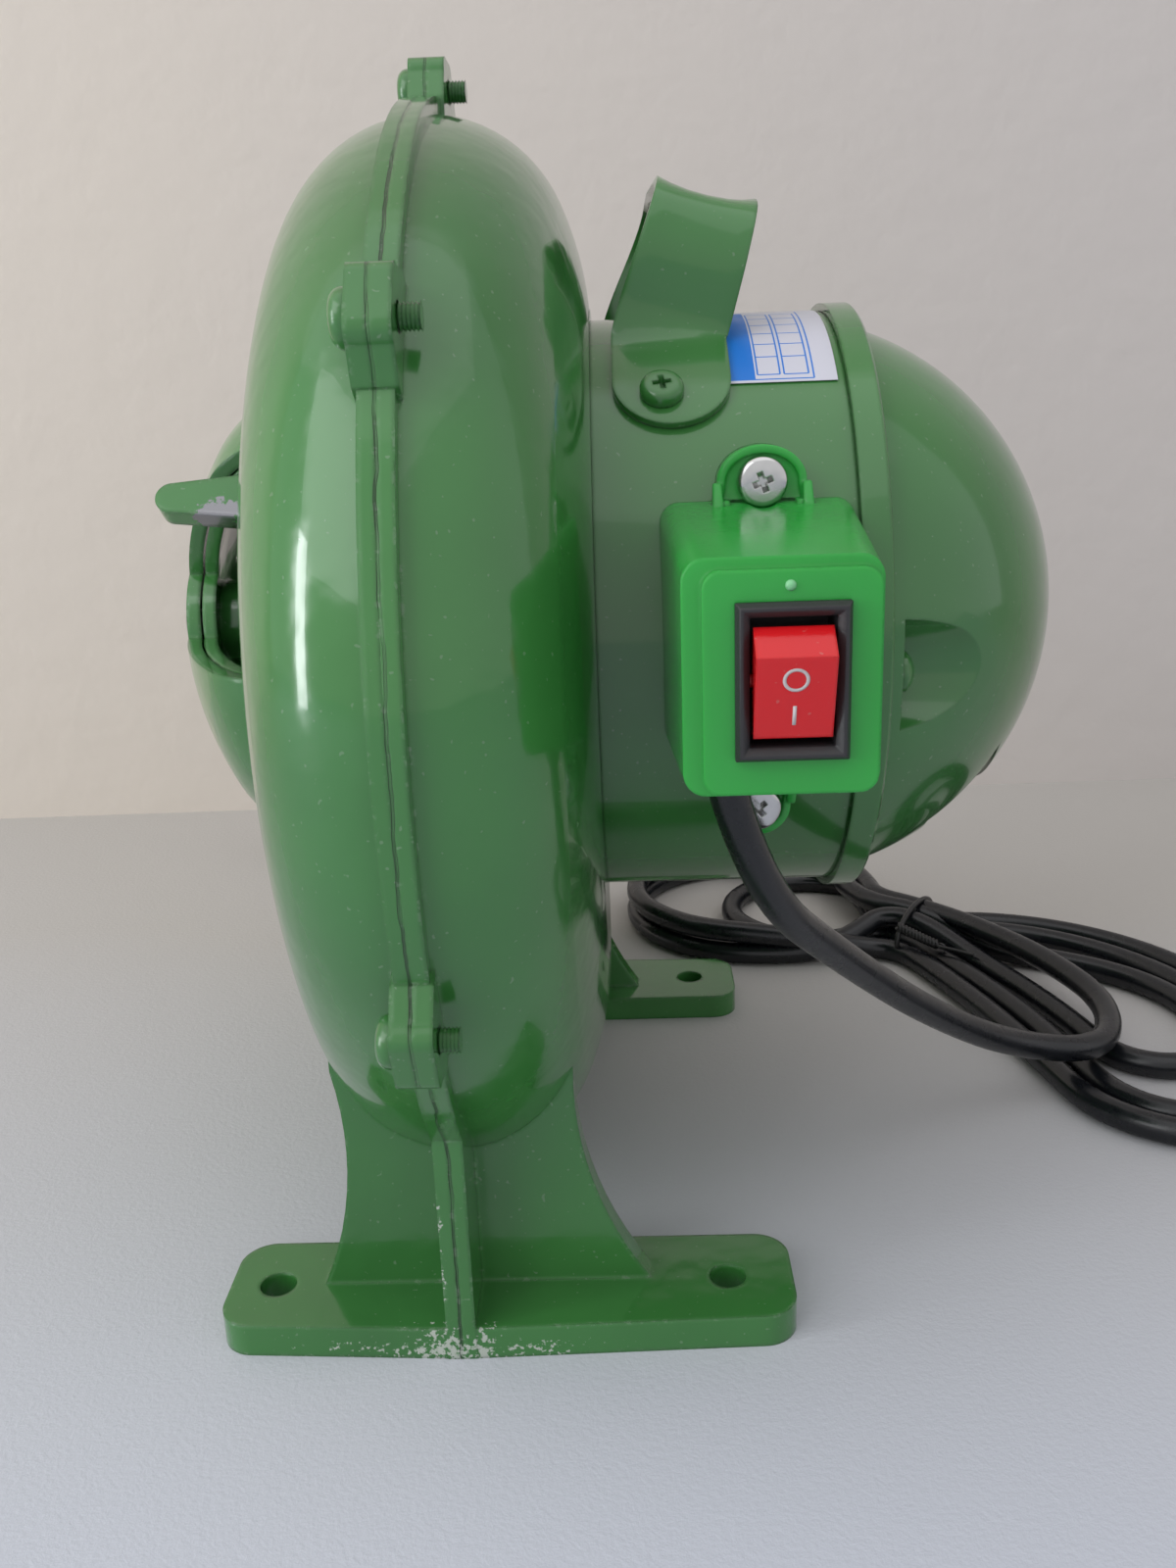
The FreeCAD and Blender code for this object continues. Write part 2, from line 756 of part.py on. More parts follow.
def impeller():
    """Back plate, hub, curved blades and a front ring with the eye in it."""
    body = new_body("impeller")
    back, sheet_thick = d.impeller_back, d.impeller_sheet
    plate = rectangle(new_sketch(body, "XY"), back, d.shaft_radius + d.seat_gap,
                      back + sheet_thick, d.impeller_radius)
    turn_about_x(body, plate)
    hub = rectangle(new_sketch(body, "XY"), back - 8, d.shaft_radius + d.seat_gap,
                    back + sheet_thick + 2, d.shaft_radius + 5)
    turn_about_x(body, hub)
    front = back - d.impeller_width
    shroud = rectangle(new_sketch(body, "XY"), front - sheet_thick, d.impeller_eye, front,
                       d.impeller_radius)
    turn_about_x(body, shroud)
    blade = new_sketch(body, "YZ", (0, 0, front - 0.1))
    outer, inner = d.impeller_radius - 0.6, d.impeller_eye * 0.72
    lean, curve = as_size(13), d.impeller_radius * 0.8
    outline(blade, (inner, 0), (outer, -lean, curve, -1), (outer, sheet_thick - lean),
            (inner, sheet_thick, curve, 1), (inner, 0))
    item = pad(body, blade, d.impeller_width + 0.2)
    repeat(body, item, blade, d.blade_count)
    return body


def shaft():
    """Stepped and threaded in front for the impeller, plain behind for the cooling fan."""
    front = d.impeller_back - 8
    r = d.shaft_radius
    nose = front - 10
    thread = r - 1
    end = d.barrel_end + d.fan_reach
    turned("motor_shaft", (nose, 0), (nose, thread - 0.5), (nose + 0.5, thread),
           (front - 0.5, thread), (front - 0.5, r), (end - 0.5, r), (end, r - 0.5), (end, 0),
           (nose, 0))
    ring("impeller_washer", front - 1.5 - 0.02, front - 0.52, thread + 0.05, r + 4)
    nut = new_body("impeller_nut")
    across = r * 1.7
    face = new_sketch(nut, "YZ", (0, 0, front - 7.5))
    slope, half = across * 0.57735, across
    outline(face, (half, -slope), (half, slope), (0, slope * 2), (-half, slope), (-half, -slope),
            (0, slope * -2), (half, -slope))
    circle(face, 0, 0, thread + 0.04)
    pad(nut, face, as_size(5.9))
    collar = d.impeller_back + d.impeller_sheet + 2
    ring("shaft_collar", collar + 0.02, d.bearing_seat - 0.1, r + d.seat_gap, r + 2)


def bearings():
    """Sealed ball bearings, as their outer and inner rings: the front one in the casing."""
    width = d.bearing_width
    seats = (d.bearing_seat, shield_x + 0.6)
    middle = (d.bearing_radius + d.shaft_radius) / 2
    for name, inner, outer in (("bearing_outer_rings", middle + 0.05, d.bearing_radius),
                               ("bearing_inner_rings", d.shaft_radius + 0.02, middle - 0.05)):
        template = doc.addObject("PartDesign::Body", name + "_one")
        turn_about_x(template, rectangle(new_sketch(template, "XY"), 0.05, inner, width, outer))
        group(name, template, [Placement(Vector(x.value, 0, 0), Rotation()) for x in seats])


# ---------------------------------------------------------------- motor

shield_x = d.barrel_end + 0.05


def motor():
    r = d.barrel_radius - d.barrel_wall
    barrel = ring("motor_barrel", d.half_width + 0.02, d.barrel_end, r, d.barrel_radius)
    for x, z, _, _ in switch_screw_sites():
        hole = new_sketch(barrel, "XZ", (0, 0, d.barrel_radius + 2))
        circle(hole, x, z, as_size(1.8))
        pocket(barrel, hole, as_size(20))
    lead = new_sketch(barrel, "XZ", (0, 0, d.barrel_radius + 2))
    circle(lead, d.switch_x, d.switch_z, as_size(5))
    pocket(barrel, lead, as_size(12))
    for hand in (-1, 1):
        tilt = Rotation(Vector(1, 0, 0), -hand * (90 - d.strap_screw_angle.value))
        hole = new_sketch(barrel, "XY", (0, 0, 0))
        hole.AttachmentOffset = Placement(Vector(0, 0, 0), tilt)
        circle(hole, d.strap_screw_x, 0, as_size(1.8))
        pocket(barrel, hole, d.barrel_radius + 5, back=True)
    start, end = d.stator_start, d.stator_start + d.stator_length
    core = ring("stator_core", start, end, d.stator_inner, r - d.seat_gap)
    for site in tie_bolt_sites():
        bore(core, end + 1, d.bolt_radius + 0.3, d.stator_length + 2, site)
    slots = new_sketch(core, "YZ", (0, 0, end + 1))
    rectangle(slots, d.stator_inner - 1, as_size(-2), d.stator_inner + d.stator_depth * 0.375,
              as_size(2))
    cut = pocket(core, slots, d.stator_length + 2)
    repeat(core, cut, slots, d.stator_slots)
    winding = doc.addObject("PartDesign::Body", "winding_one")
    low, high = d.stator_inner + 1, d.stator_inner + d.stator_depth / 2
    outline_steps = [(0, low), (0, high), (d.winding_reach - 2, high),
                     (d.winding_reach, high - 2, 2, -1), (d.winding_reach, low + 2),
                     (d.winding_reach - 2, low, 2, -1), (0, low)]
    turn_about_x(winding, outline(new_sketch(winding, "XY"), *outline_steps))
    flip = Rotation(Vector(0, 0, 1), 180)
    group("stator_windings", winding,
          [Placement(Vector(start.value - 0.02, 0, 0), flip),
           Placement(Vector(end.value + 0.02, 0, 0), Rotation())])
    core_radius = d.stator_inner - d.rotor_gap
    s = d.shaft_radius + d.seat_gap
    turned("rotor_core", (start - 3, s), (start - 3, core_radius - 4), (start, core_radius - 4),
           (start, core_radius), (end, core_radius), (end, core_radius - 4),
           (end + 3, core_radius - 4), (end + 3, s), (start - 3, s))


def end_shield():
    """The rear bearing's plate, on the barrel's end, with windows for the cooling air."""
    body = new_body("end_shield")
    hub, thick = d.bearing_radius + 3, d.shield_thick
    plate = rectangle(new_sketch(body, "XY"), shield_x, d.shaft_radius + 1, shield_x + thick,
                      d.barrel_radius - 0.1)
    turn_about_x(body, plate)
    tube = rectangle(new_sketch(body, "XY"), shield_x, d.shaft_radius + 1,
                     shield_x + d.bearing_width + 2, hub)
    turn_about_x(body, tube)
    bore(body, shield_x + 0.6 + d.bearing_width, d.bearing_radius + 0.02, d.bearing_width)
    for site in tie_bolt_sites():
        bore(body, shield_x + thick + 1, d.bolt_radius + 0.3, thick + 2, site)
    hole = new_sketch(body, "YZ", (0, 0, shield_x + thick + 1), 45)
    circle(hole, (hub + d.barrel_radius) / 2 - 2, 0, as_size(8))
    cut = pocket(body, hole, thick + 2)
    repeat(body, cut, hole, 4)


def solid(kind, x, y, z, turn=None, **sizes):
    """A primitive at a place given from the split plane and the motor axis."""
    item = doc.addObject(f"Part::{kind}", kind.lower())
    for key, size in sizes.items():
        setattr(item, key, as_size(size).value)
        item.setExpression(key, as_size(size).text)
    place = (d.split_x + x, as_size(y), d.axis_height + z)
    item.Placement = Placement(Vector(*[p.value for p in place]), turn or Rotation())
    for axis, size in zip("xyz", place):
        item.setExpression(f".Placement.Base.{axis}", size.text)
    return item


along_x = Rotation(Vector(0, 1, 0), 90)


def boolean(kind, name, *items):
    """A named cut, or a fuse or common of several solids."""
    if kind == "Cut":
        item = doc.addObject("Part::Cut", name)
        item.Base, item.Tool = items
    else:
        item = doc.addObject(f"Part::Multi{kind}", name)
        item.Shapes = list(items)
    item.Label = name
    return item


def dome_end_cap():
    """A ball-shaped cover with scooped pockets for the tie bolts and an air slot underneath."""
    outer, wall = d.dome_radius, d.dome_wall
    inner = outer - wall
    seat = shield_x + d.shield_thick + 0.1
    step = d.collar_end - 2
    shell = new_body("dome_shell")

    def height(radius, x):
        return (radius * radius - (x - d.dome_centre) * (x - d.dome_centre)).root()

    turn_about_x(shell, outline(
        new_sketch(shell, "XY"), (d.barrel_end + 0.1, d.barrel_radius + 0.1),
        (d.barrel_end + 0.1, d.collar_radius), (d.collar_end - 0.5, d.collar_radius),
        (d.collar_end, d.collar_radius - 0.5), (d.collar_end, height(outer, d.collar_end)),
        (d.dome_centre + outer, 0, outer, -1), (d.dome_centre + inner, 0),
        (step, height(inner, step), inner, 1), (seat, height(inner, step)),
        (seat, d.barrel_radius + 0.1), (d.barrel_end + 0.1, d.barrel_radius + 0.1)))
    ball = solid("Sphere", d.dome_centre, 0, 0, Radius=outer)
    out = (d.tie_bolt_circle + 6) / d.tie_bolt_circle
    bosses = []
    scoops = []
    for y, z in tie_bolt_sites():
        wide = solid("Cylinder", step, y * out, z * out, along_x, Radius=d.pocket_radius + wall,
                     Height=outer)
        bosses.append(boolean("Common", "pocket_wall", wide, doc.copyObject(ball)))
        scoops.append(solid("Cylinder", d.collar_end + wall, y * out, z * out, along_x,
                            Radius=d.pocket_radius, Height=outer))
        scoops.append(solid("Cylinder", d.barrel_end - 5, y, z, along_x,
                            Radius=d.bolt_radius + 0.3, Height=outer))
    body = boolean("Fuse", "dome_body", shell, *bosses)
    slot = solid("Box", d.vent_x - d.vent_length / 2, -d.vent_width / 2, -outer,
                 Length=d.vent_length, Width=d.vent_width, Height=outer * 0.7)
    cuts = boolean("Fuse", "dome_cuts", slot, *scoops)
    boolean("Cut", "dome_end_cap", body, cuts)


def tie_bolts():
    length = d.collar_end + d.dome_wall - d.half_width - 1
    bolt = screw("tie_bolt", as_size(3.5), as_size(2.4), d.bolt_radius, length)
    flip = Rotation(Vector(0, 0, 1), 180)
    group("motor_tie_bolts", bolt, [
        Placement(Vector((d.collar_end + d.dome_wall).value + 0.02, y.value, z.value), flip)
        for y, z in tie_bolt_sites()])


def cooling_fan():
    """A small radial fan on the shaft's rear end, inside the dome."""
    body = new_body("cooling_fan")
    start = d.barrel_end + d.fan_start
    r = d.shaft_radius + d.seat_gap
    turn_about_x(body, rectangle(new_sketch(body, "XY"), start, r, start + 1.5, d.fan_radius))
    turn_about_x(body, rectangle(new_sketch(body, "XY"), start, r, start + 10,
                                 d.shaft_radius + 3))
    blade = new_sketch(body, "YZ", (0, 0, start + 1))
    rectangle(blade, d.shaft_radius + 2, as_size(-0.6), d.fan_radius - 0.5, as_size(0.6))
    item = pad(body, blade, as_size(8))
    repeat(body, item, blade, 8)


# ---------------------------------------------------------------- handle

def handle():
    """A strap bent over the barrel: two tabs that follow it, and a bow that leans back."""
    inner = d.barrel_radius + 0.05
    outer = inner + d.strap_thick
    half = d.strap_width / 2
    bend = d.strap_bend_angle
    pieces = []
    for hand in (-1, 1):
        tilt = 90 - d.strap_end_angle.value
        turn = Rotation(Vector(1, 0, 0), -hand * tilt)
        sector = (tilt - (90 - bend.value)) * math.pi / 180
        run = outer * sector
        skin = boolean("Cut", "tab_skin",
                       solid("Cylinder", d.strap_x - half, 0, 0, along_x, Radius=outer,
                             Height=d.strap_width),
                       solid("Cylinder", d.strap_x - half - 1, 0, 0, along_x, Radius=inner,
                             Height=d.strap_width + 2))
        out = turn.multVec(Vector(0, 0, 1)) * (d.barrel_radius.value - 8)
        corner_place = out + turn.multVec(Vector(0, 0 if hand < 0 else -run.value, 0))
        stamp = boolean("Fuse", "tab_stamp",
                        solid("Cylinder", d.strap_x, out.y, out.z, turn, Radius=half, Height=12),
                        solid("Box", d.strap_x - half, corner_place.y, corner_place.z, turn,
                              Length=d.strap_width, Width=run, Height=12))
        tab = boolean("Common", "tab", skin, stamp)
        turn = Rotation(Vector(1, 0, 0), hand * (d.strap_screw_angle.value - 90))
        out = turn.multVec(Vector(0, 0, 1)) * (d.barrel_radius.value - 8)
        hole = solid("Cylinder", d.strap_screw_x, out.y, out.z, turn, Radius=2, Height=14)
        pieces.append(boolean("Cut", "tab_drilled", tab, hole))
    angle = math.radians(bend.value)
    foot_y, foot_z = inner * math.cos(angle), inner * math.sin(angle)
    bow = doc.addObject("PartDesign::Body", "bow")
    lean = Rotation(Vector(0, 1, 0), d.strap_lean.value)
    bow.Placement = Placement(Vector((d.split_x + d.strap_x).value, 0,
                                     (d.axis_height + foot_z).value), lean)
    thick, top, turn_in = d.strap_thick, d.strap_rise, as_size(9)
    wide = foot_y + thick + 2
    sketch = new_sketch(bow, "YZ", (0, 0, -half))
    steps = [(foot_y, -3), (foot_y + thick, -3), (wide, top - turn_in),
             (wide - turn_in, top, turn_in, 1), (turn_in - wide, top),
             (-wide, top - turn_in, turn_in, 1), (-foot_y - thick, -3), (-foot_y, -3),
             (thick - wide, top - turn_in), (turn_in - wide, top - thick, turn_in - thick, -1),
             (wide - turn_in, top - thick), (wide - thick, top - turn_in, turn_in - thick, -1),
             (foot_y, -3)]
    outline(sketch, *steps)
    pad(bow, sketch, d.strap_width)
    under = solid("Cylinder", d.strap_x - d.strap_width, 0, 0, along_x, Radius=inner,
                  Height=2 * d.strap_width)
    boolean("Fuse", "handle_strap", boolean("Cut", "bow_on_barrel", bow, under), *pieces)
    bolt = screw("strap_screw", as_size(3.6), as_size(2.2), as_size(1.75), as_size(3.2))
    places = []
    for hand in (-1, 1):
        turn = Rotation(Vector(1, 0, 0), hand * (d.strap_screw_angle.value - 90))
        out = turn.multVec(Vector(0, 0, 1)) * (outer.value + 0.35)
        point = Vector(d.strap_screw_x.value, out.y, out.z)
        places.append(Placement(point, turn.multiply(Rotation(Vector(0, 1, 0), 90))))
    group("handle_screws", bolt, places)


# ---------------------------------------------------------------- switch

def switch_screw_sites():
    """The two screws of the switch box: x, z, how far out their ears stand, and ear radius."""
    return [(d.switch_x + 0.5, d.box_screw_rise, d.barrel_radius - 3.6, as_size(6.8)),
            (d.switch_x - 0.5, -d.box_screw_drop, d.barrel_radius - 1, as_size(5.6))]


def switch_box():
    """A drafted moulded box, open to the barrel, with a raised plinth and two screw ears."""
    body = new_body("switch_box")
    back_y, front_y = d.barrel_radius - 10, d.box_front
    corners = ((d.switch_x - 15.7, d.switch_z - 20.3, d.switch_x + 15.8, d.switch_z + 19.5),
               (d.switch_x - 14.3, d.switch_z - 15.9, d.switch_x + 12, d.switch_z + 16.1))

    def tapered(take, front, kind):
        sketches = []
        for (x0, z0, x1, z1), y in zip(corners, (back_y, front)):
            sketch = new_sketch(body, "XZ", (0, 0, y))
            rounded(sketch, x0 + take, z0 + take, x1 - take, z1 - take, 3.2 - take)
            sketches.append(sketch)
        loft = body.newObject(f"PartDesign::{kind}", "taper")
        loft.Profile = sketches[0]
        loft.Sections = [sketches[1]]
        loft.Ruled = True

    tapered(0, front_y, "AdditiveLoft")
    for (x, z, ear_y, r), way in zip(switch_screw_sites(), (1, -1)):
        ear = new_sketch(body, "XZ", (0, 0, ear_y))
        root = z - way * 14
        outline(ear, (x + way * r, root), (x + way * r, z), (x, z + way * r, r, 1),
                (x - way * r, z, r, 1), (x - way * r, root), (x + way * r, root))
        pad(body, ear, as_size(11), back=True)
        for hand in (-1, 1):
            web = new_sketch(body, "XZ", (0, 0, ear_y - 0.2))
            edge = x + hand * (r - 0.8)
            rectangle(web, edge - 0.8, z - 4, edge + 0.8, z + 4)
            pad(body, web, as_size(3))
    plinth = new_sketch(body, "XZ", (0, 0, front_y - 0.2))
    rounded(plinth, d.switch_x - 11.7, d.switch_z - 15.4, d.switch_x + 11.6, d.switch_z + 14.6,
            2.5)
    pad(body, plinth, d.plinth_height + 0.2)
    tapered(d.box_wall, front_y - d.box_wall, "SubtractiveLoft")
    seat = new_sketch(body, "YZ")
    circle(seat, 0, 0, d.barrel_radius + 0.05)
    pocket(body, seat, as_size(200), middle=True)
    for x, z, ear_y, _ in switch_screw_sites():
        hole = new_sketch(body, "XZ", (0, 0, front_y))
        circle(hole, x, z, as_size(1.9))
        pocket(body, hole, front_y - d.barrel_radius * 0.6)
        recess = new_sketch(body, "XZ", (0, 0, front_y))
        circle(recess, x, z, as_size(3.95))
        pocket(body, recess, front_y - ear_y)
    hole = new_sketch(body, "XZ", (0, 0, front_y + 5))
    half_x, half_z = d.switch_body_width / 2 + 0.1, d.switch_body_height / 2 + 0.1
    rectangle(hole, d.switch_x - half_x, d.switch_z - half_z, d.switch_x + half_x,
              d.switch_z + half_z)
    pocket(body, hole, as_size(12))
    exit_hole = new_sketch(body, "XY", (0, 0, d.switch_z - 40))
    circle(exit_hole, d.cord_x, -d.cord_y, d.gland_radius + d.seat_gap)
    pocket(body, exit_hole, as_size(35), back=True)
    bolt = screw("box_screw", as_size(3.75), as_size(2.4), as_size(1.75), as_size(5))
    turn = Rotation(Vector(0, 0, 1), 90)
    group("switch_box_screws", bolt, [
        Placement(Vector(x.value, -ear_y.value - 0.02, z.value), turn)
        for x, z, ear_y, _ in switch_screw_sites()])


def rounded(sketch, x0, y0, x1, y1, r):
    """A rectangle with round corners."""
    return outline(sketch, (x0 + r, y0), (x1 - r, y0), (x1, y0 + r, r, 1), (x1, y1 - r),
                   (x1 - r, y1, r, 1), (x0 + r, y1), (x0, y1 - r, r, 1), (x0, y0 + r),
                   (x0 + r, y0, r, 1))


def rocker_switch():
    """A panel rocker: frame with its body, a rocker on two pins, and the tags behind."""
    face = d.box_front + d.plinth_height + 0.02
    x, z = d.switch_x, d.switch_z
    frame = new_body("switch_frame")
    flange = new_sketch(frame, "XZ", (0, 0, face))
    rectangle(flange, x - 7.5, z - 10.5, x + 7.5, z + 10.5)
    pad(frame, flange, as_size(2))
    shell = new_sketch(frame, "XZ", (0, 0, face))
    half_x, half_z = d.switch_body_width / 2, d.switch_body_height / 2
    rectangle(shell, x - half_x, z - half_z, x + half_x, z + half_z)
    pad(frame, shell, d.switch_body_depth, back=True)
    mouth = new_sketch(frame, "XZ", (0, 0, face + 2))
    rectangle(mouth, x - 5.6, z - 8.2, x + 5.6, z + 8.2)
    pocket(frame, mouth, as_size(13))
    pin = new_sketch(frame, "YZ", (-pivot_y, z, x))
    circle(pin, 0, 0, as_size(0.96))
    pocket(frame, pin, as_size(12.2), middle=True)
    rocker = doc.addObject("PartDesign::Body", "switch_rocker")
    rocker.Label = "switch_rocker"
    rocker.Placement = Placement(
        Vector((d.split_x + x).value, -pivot_y.value, (d.axis_height + z).value),
        Rotation(Vector(1, 0, 0), d.rocker_tilt.value))
    side = new_sketch(rocker, "YZ")
    end = as_size(7.6)
    outline(side, (0, -end), (0, end, end + 1.4, 1), (-4.8, 5.4), (-3.9, -6.6), (0, -end))
    pad(rocker, side, as_size(10.4), middle=True)
    pins = new_sketch(rocker, "YZ")
    circle(pins, 0, 0, as_size(0.9))
    pad(rocker, pins, as_size(11.9), middle=True)
    back = face - d.switch_body_depth
    tag = doc.addObject("PartDesign::Body", "switch_tag")
    blade = rectangle(new_sketch(tag, "XZ"), -2.4, -0.4, 2.4, 0.4)
    pad(tag, blade, as_size(7), back=True)
    group("switch_tags", tag, [
        Placement(Vector(x.value, -back.value + 0.02, z.value + step), Rotation())
        for step in (-5, 5)])


pivot_y = d.box_front + d.plinth_height + 2 - 3


# ---------------------------------------------------------------- cord

LEAD = [(45, -75, 102), (48.5, -67.5, 80.5), (65, -40, 59.5), (89.5, -12, 36), (114.5, 8, 18),
        (137.5, 19, 9.6), (147.5, 41, 9.4), (143.5, 66, 9.4), (130.5, 88, 9.4), (116.5, 101, 9.4)]
LOOPS = [
    [(116.5, 101, 3.1), (136.5, 100, 3.1), (156.5, 91, 3.1), (172.5, 75, 3.1), (182.5, 53, 3.1),
     (185.5, 30, 3.1), (184.5, 6, 3.1), (172, -13.2, 3.1), (149.5, -18, 3.1), (130.5, -5, 3.1),
     (126, 18, 3.1), (120.5, 41, 3.1), (113.5, 63, 3.1), (106.5, 82, 3.1)],
    [(114.5, 95, 3.1), (134.5, 93.5, 3.1), (152.5, 84, 3.1), (166.5, 69, 3.1), (175.5, 50, 3.1),
     (179, 28, 3.1), (177, 8.1, 3.1), (167.8, -6.3, 3.1), (151.1, -10, 3.1),
     (136.7, -0.8, 3.1), (132.5, 20, 3.1), (127.5, 43, 3.1), (119.5, 66, 3.1), (110.5, 88, 3.1)],
    [(114, 93.5, 9.4), (129.5, 80, 3.8), (142.5, 74, 3.1), (155.5, 66, 3.1), (165.5, 55, 3.1),
     (170.5, 40, 3.1), (169.5, 25.4, 3.1), (163.2, 15.5, 3.1), (151.9, 13, 3.1), (142, 19.3, 3.1),
     (138.5, 36, 3.1), (133, 54, 3.1), (125, 71, 3.9), (111.5, 88.5, 9.4)],
]
TAIL = [(59.5, 151, 6.2), (45.5, 158, 3.6), (23.5, 161, 3.1), (0.5, 159.5, 3.1), (-15.5, 158.5, 3.1),
        (-30.5, 166, 4.9)]


def cable(route):
    """A round tube along straight runs that are joined by arcs."""
    points = [Vector(x + d.split_x.value, y, z) for x, y, z in route]
    edges = []
    radii = []
    start = points[0]
    for before, here, after in zip(points, points[1:], points[2:]):
        into, out = here - before, after - here
        turn = into.getAngle(out)
        reach = 0.45 * min(into.Length, out.Length)
        radii.append(reach / math.tan(turn / 2))
        into.normalize()
        out.normalize()
        first, last = here - into * reach, here + out * reach
        inward = (out - into).normalize()
        depth = radii[-1] * (1 / math.cos(turn / 2) - 1)
        edges.append(Part.LineSegment(start, first).toShape())
        edges.append(Part.Arc(first, here + inward * depth, last).toShape())
        start = last
    edges.append(Part.LineSegment(start, points[-1]).toShape())
    wire = Part.Wire(edges)
    section = Part.Circle(points[0], points[1] - points[0], d.cord_radius.value).toShape()
    tube = wire.makePipeShell([Part.Wire([section])], True, False)
    share = tube.Volume / (math.pi * d.cord_radius.value ** 2 * wire.Length)
    print(f"cord run {wire.Length:.0f} long, radii {min(radii):.0f} and up, volume {share:.3f}")
    return tube


def cord_piece(name, routes):
    item = doc.addObject("Part::Feature", name)
    item.Label = name
    tubes = [cable(route) for route in routes]
    item.Shape = tubes[0] if len(tubes) == 1 else Part.makeCompound(tubes)


def cord():
    """The lead as it hangs and lies, its tied bundle with three loops, and the plug behind."""
    floor = -d.axis_height
    gland = new_body("cord_gland")
    hole = new_sketch(gland, "XY", (0, 0, d.switch_z - d.gland_drop))
    circle(hole, d.cord_x, -d.cord_y, d.gland_radius)
    pad(gland, hole, d.gland_length)
    cord_piece("cord_lead", [LEAD])
    cord_piece("cord_loops", LOOPS)
    cord_piece("cord_tail", [TAIL])
    coil = new_body("cord_coil")
    disc = new_sketch(coil, "XY", (0, 0, floor))
    circle(disc, d.coil_x, d.coil_y, d.coil_radius)
    pad(coil, disc, d.coil_height)
    neck = new_sketch(coil, "XY", (d.neck_x, d.neck_y, floor + d.tie_thick),
                      d.neck_angle.value)
    wide = d.neck_half_width
    rectangle(neck, -22, -wide, 1.5, wide)
    pad(coil, neck, d.coil_height - d.tie_thick)
    tie = new_body("cord_tie")
    band = new_sketch(tie, "XY", (d.neck_x, d.neck_y, floor), d.neck_angle.value)
    rectangle(band, -5.5, -wide - d.tie_thick, -3.5, wide + d.tie_thick)
    pad(tie, band, d.coil_height + d.tie_thick)
    inside = new_sketch(tie, "XY", (d.neck_x, d.neck_y, floor + d.tie_thick),
                        d.neck_angle.value)
    rectangle(inside, -6, -wide, -3, wide)
    pocket(tie, inside, d.coil_height - d.tie_thick, back=True)
    x, y, z = TAIL[-1]
    tilt = Rotation(Vector(0, 1, 0), 180 + d.plug_tilt.value)
    aim = Rotation(Vector(0, 0, 1), -d.plug_turn.value)
    place = Placement(Vector(x + d.split_x.value, y, z), aim.multiply(tilt))
    plug = doc.addObject("PartDesign::Body", "mains_plug")
    plug.Label = "mains_plug"
    plug.Placement = place
    r, long = d.plug_radius, d.plug_length
    turn_about_x(plug, outline(
        new_sketch(plug, "XY"), (0, 0), (long, 0), (long, r - 1), (long - 1, r, 1, 1),
        (long - 12, r), (long - 22, r - 7.5), (18, r - 9), (16, 6.5), (0, 4.4), (0, 0)))
    for hand in (-1, 1):
        slot = new_sketch(plug, "YZ", (0, 0, long - 11))
        rectangle(slot, -2.6, hand * (r - 2), 2.6, hand * (r + 1))
        pocket(plug, slot, as_size(12), back=True)
    pins = doc.addObject("Part::Feature", "plug_pins")
    pins.Label = "plug_pins"
    pins.Shape = Part.makeCompound([
        Part.makeCylinder(d.pin_radius.value, d.pin_length.value,
                          Vector(long.value, hand * d.pin_pitch.value / 2, 0), Vector(1, 0, 0))
        for hand in (-1, 1)])
    pins.Placement = place


def main():
    front_half()
    rear_half()
    casing_bolts()
    intake_grille()
    intake_shutter()
    pivot()
    impeller()
    shaft()
    bearings()
    motor()
    end_shield()
    dome_end_cap()
    tie_bolts()
    cooling_fan()
    handle()
    switch_box()
    rocker_switch()
    cord()
    finish()


NODES = [
    "front_volute_half", "rear_volute_half", "casing_bolts", "intake_grille", "intake_shutter",
    "pivot_washer", "pivot_screw", "impeller", "impeller_washer", "impeller_nut", "motor_shaft",
    "shaft_collar", "bearing_outer_rings", "bearing_inner_rings", "motor_barrel", "stator_core",
    "stator_windings", "rotor_core", "end_shield", "dome_end_cap", "motor_tie_bolts",
    "cooling_fan", "handle_strap", "handle_screws", "switch_box", "switch_box_screws",
    "switch_frame", "switch_rocker", "switch_tags", "cord_gland", "cord_lead", "cord_loops",
    "cord_coil", "cord_tie", "cord_tail", "mains_plug", "plug_pins",
]


def finish():
    """Recomputes, checks every object and writes one file for each piece."""
    doc.recompute()
    failed = [o.Name for o in doc.Objects if {"Invalid", "Error"} & set(o.State)]
    if failed:
        raise RuntimeError(f"failed objects: {failed}")
    os.makedirs("parts", exist_ok=True)
    for name in NODES:
        item = doc.getObjectsByLabel(name)[0]
        shape = item.Shape
        if shape.isNull() or not shape.isValid():
            raise RuntimeError(f"{name} has no valid shape")
        shape.exportStep(os.path.join("parts", f"{name}.step"))
        print(f"{name}: {len(shape.Solids)} solid(s), {shape.Volume:.0f} cubic mm")


main()
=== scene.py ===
import json
import math

import bpy
from mathutils import Matrix, Vector


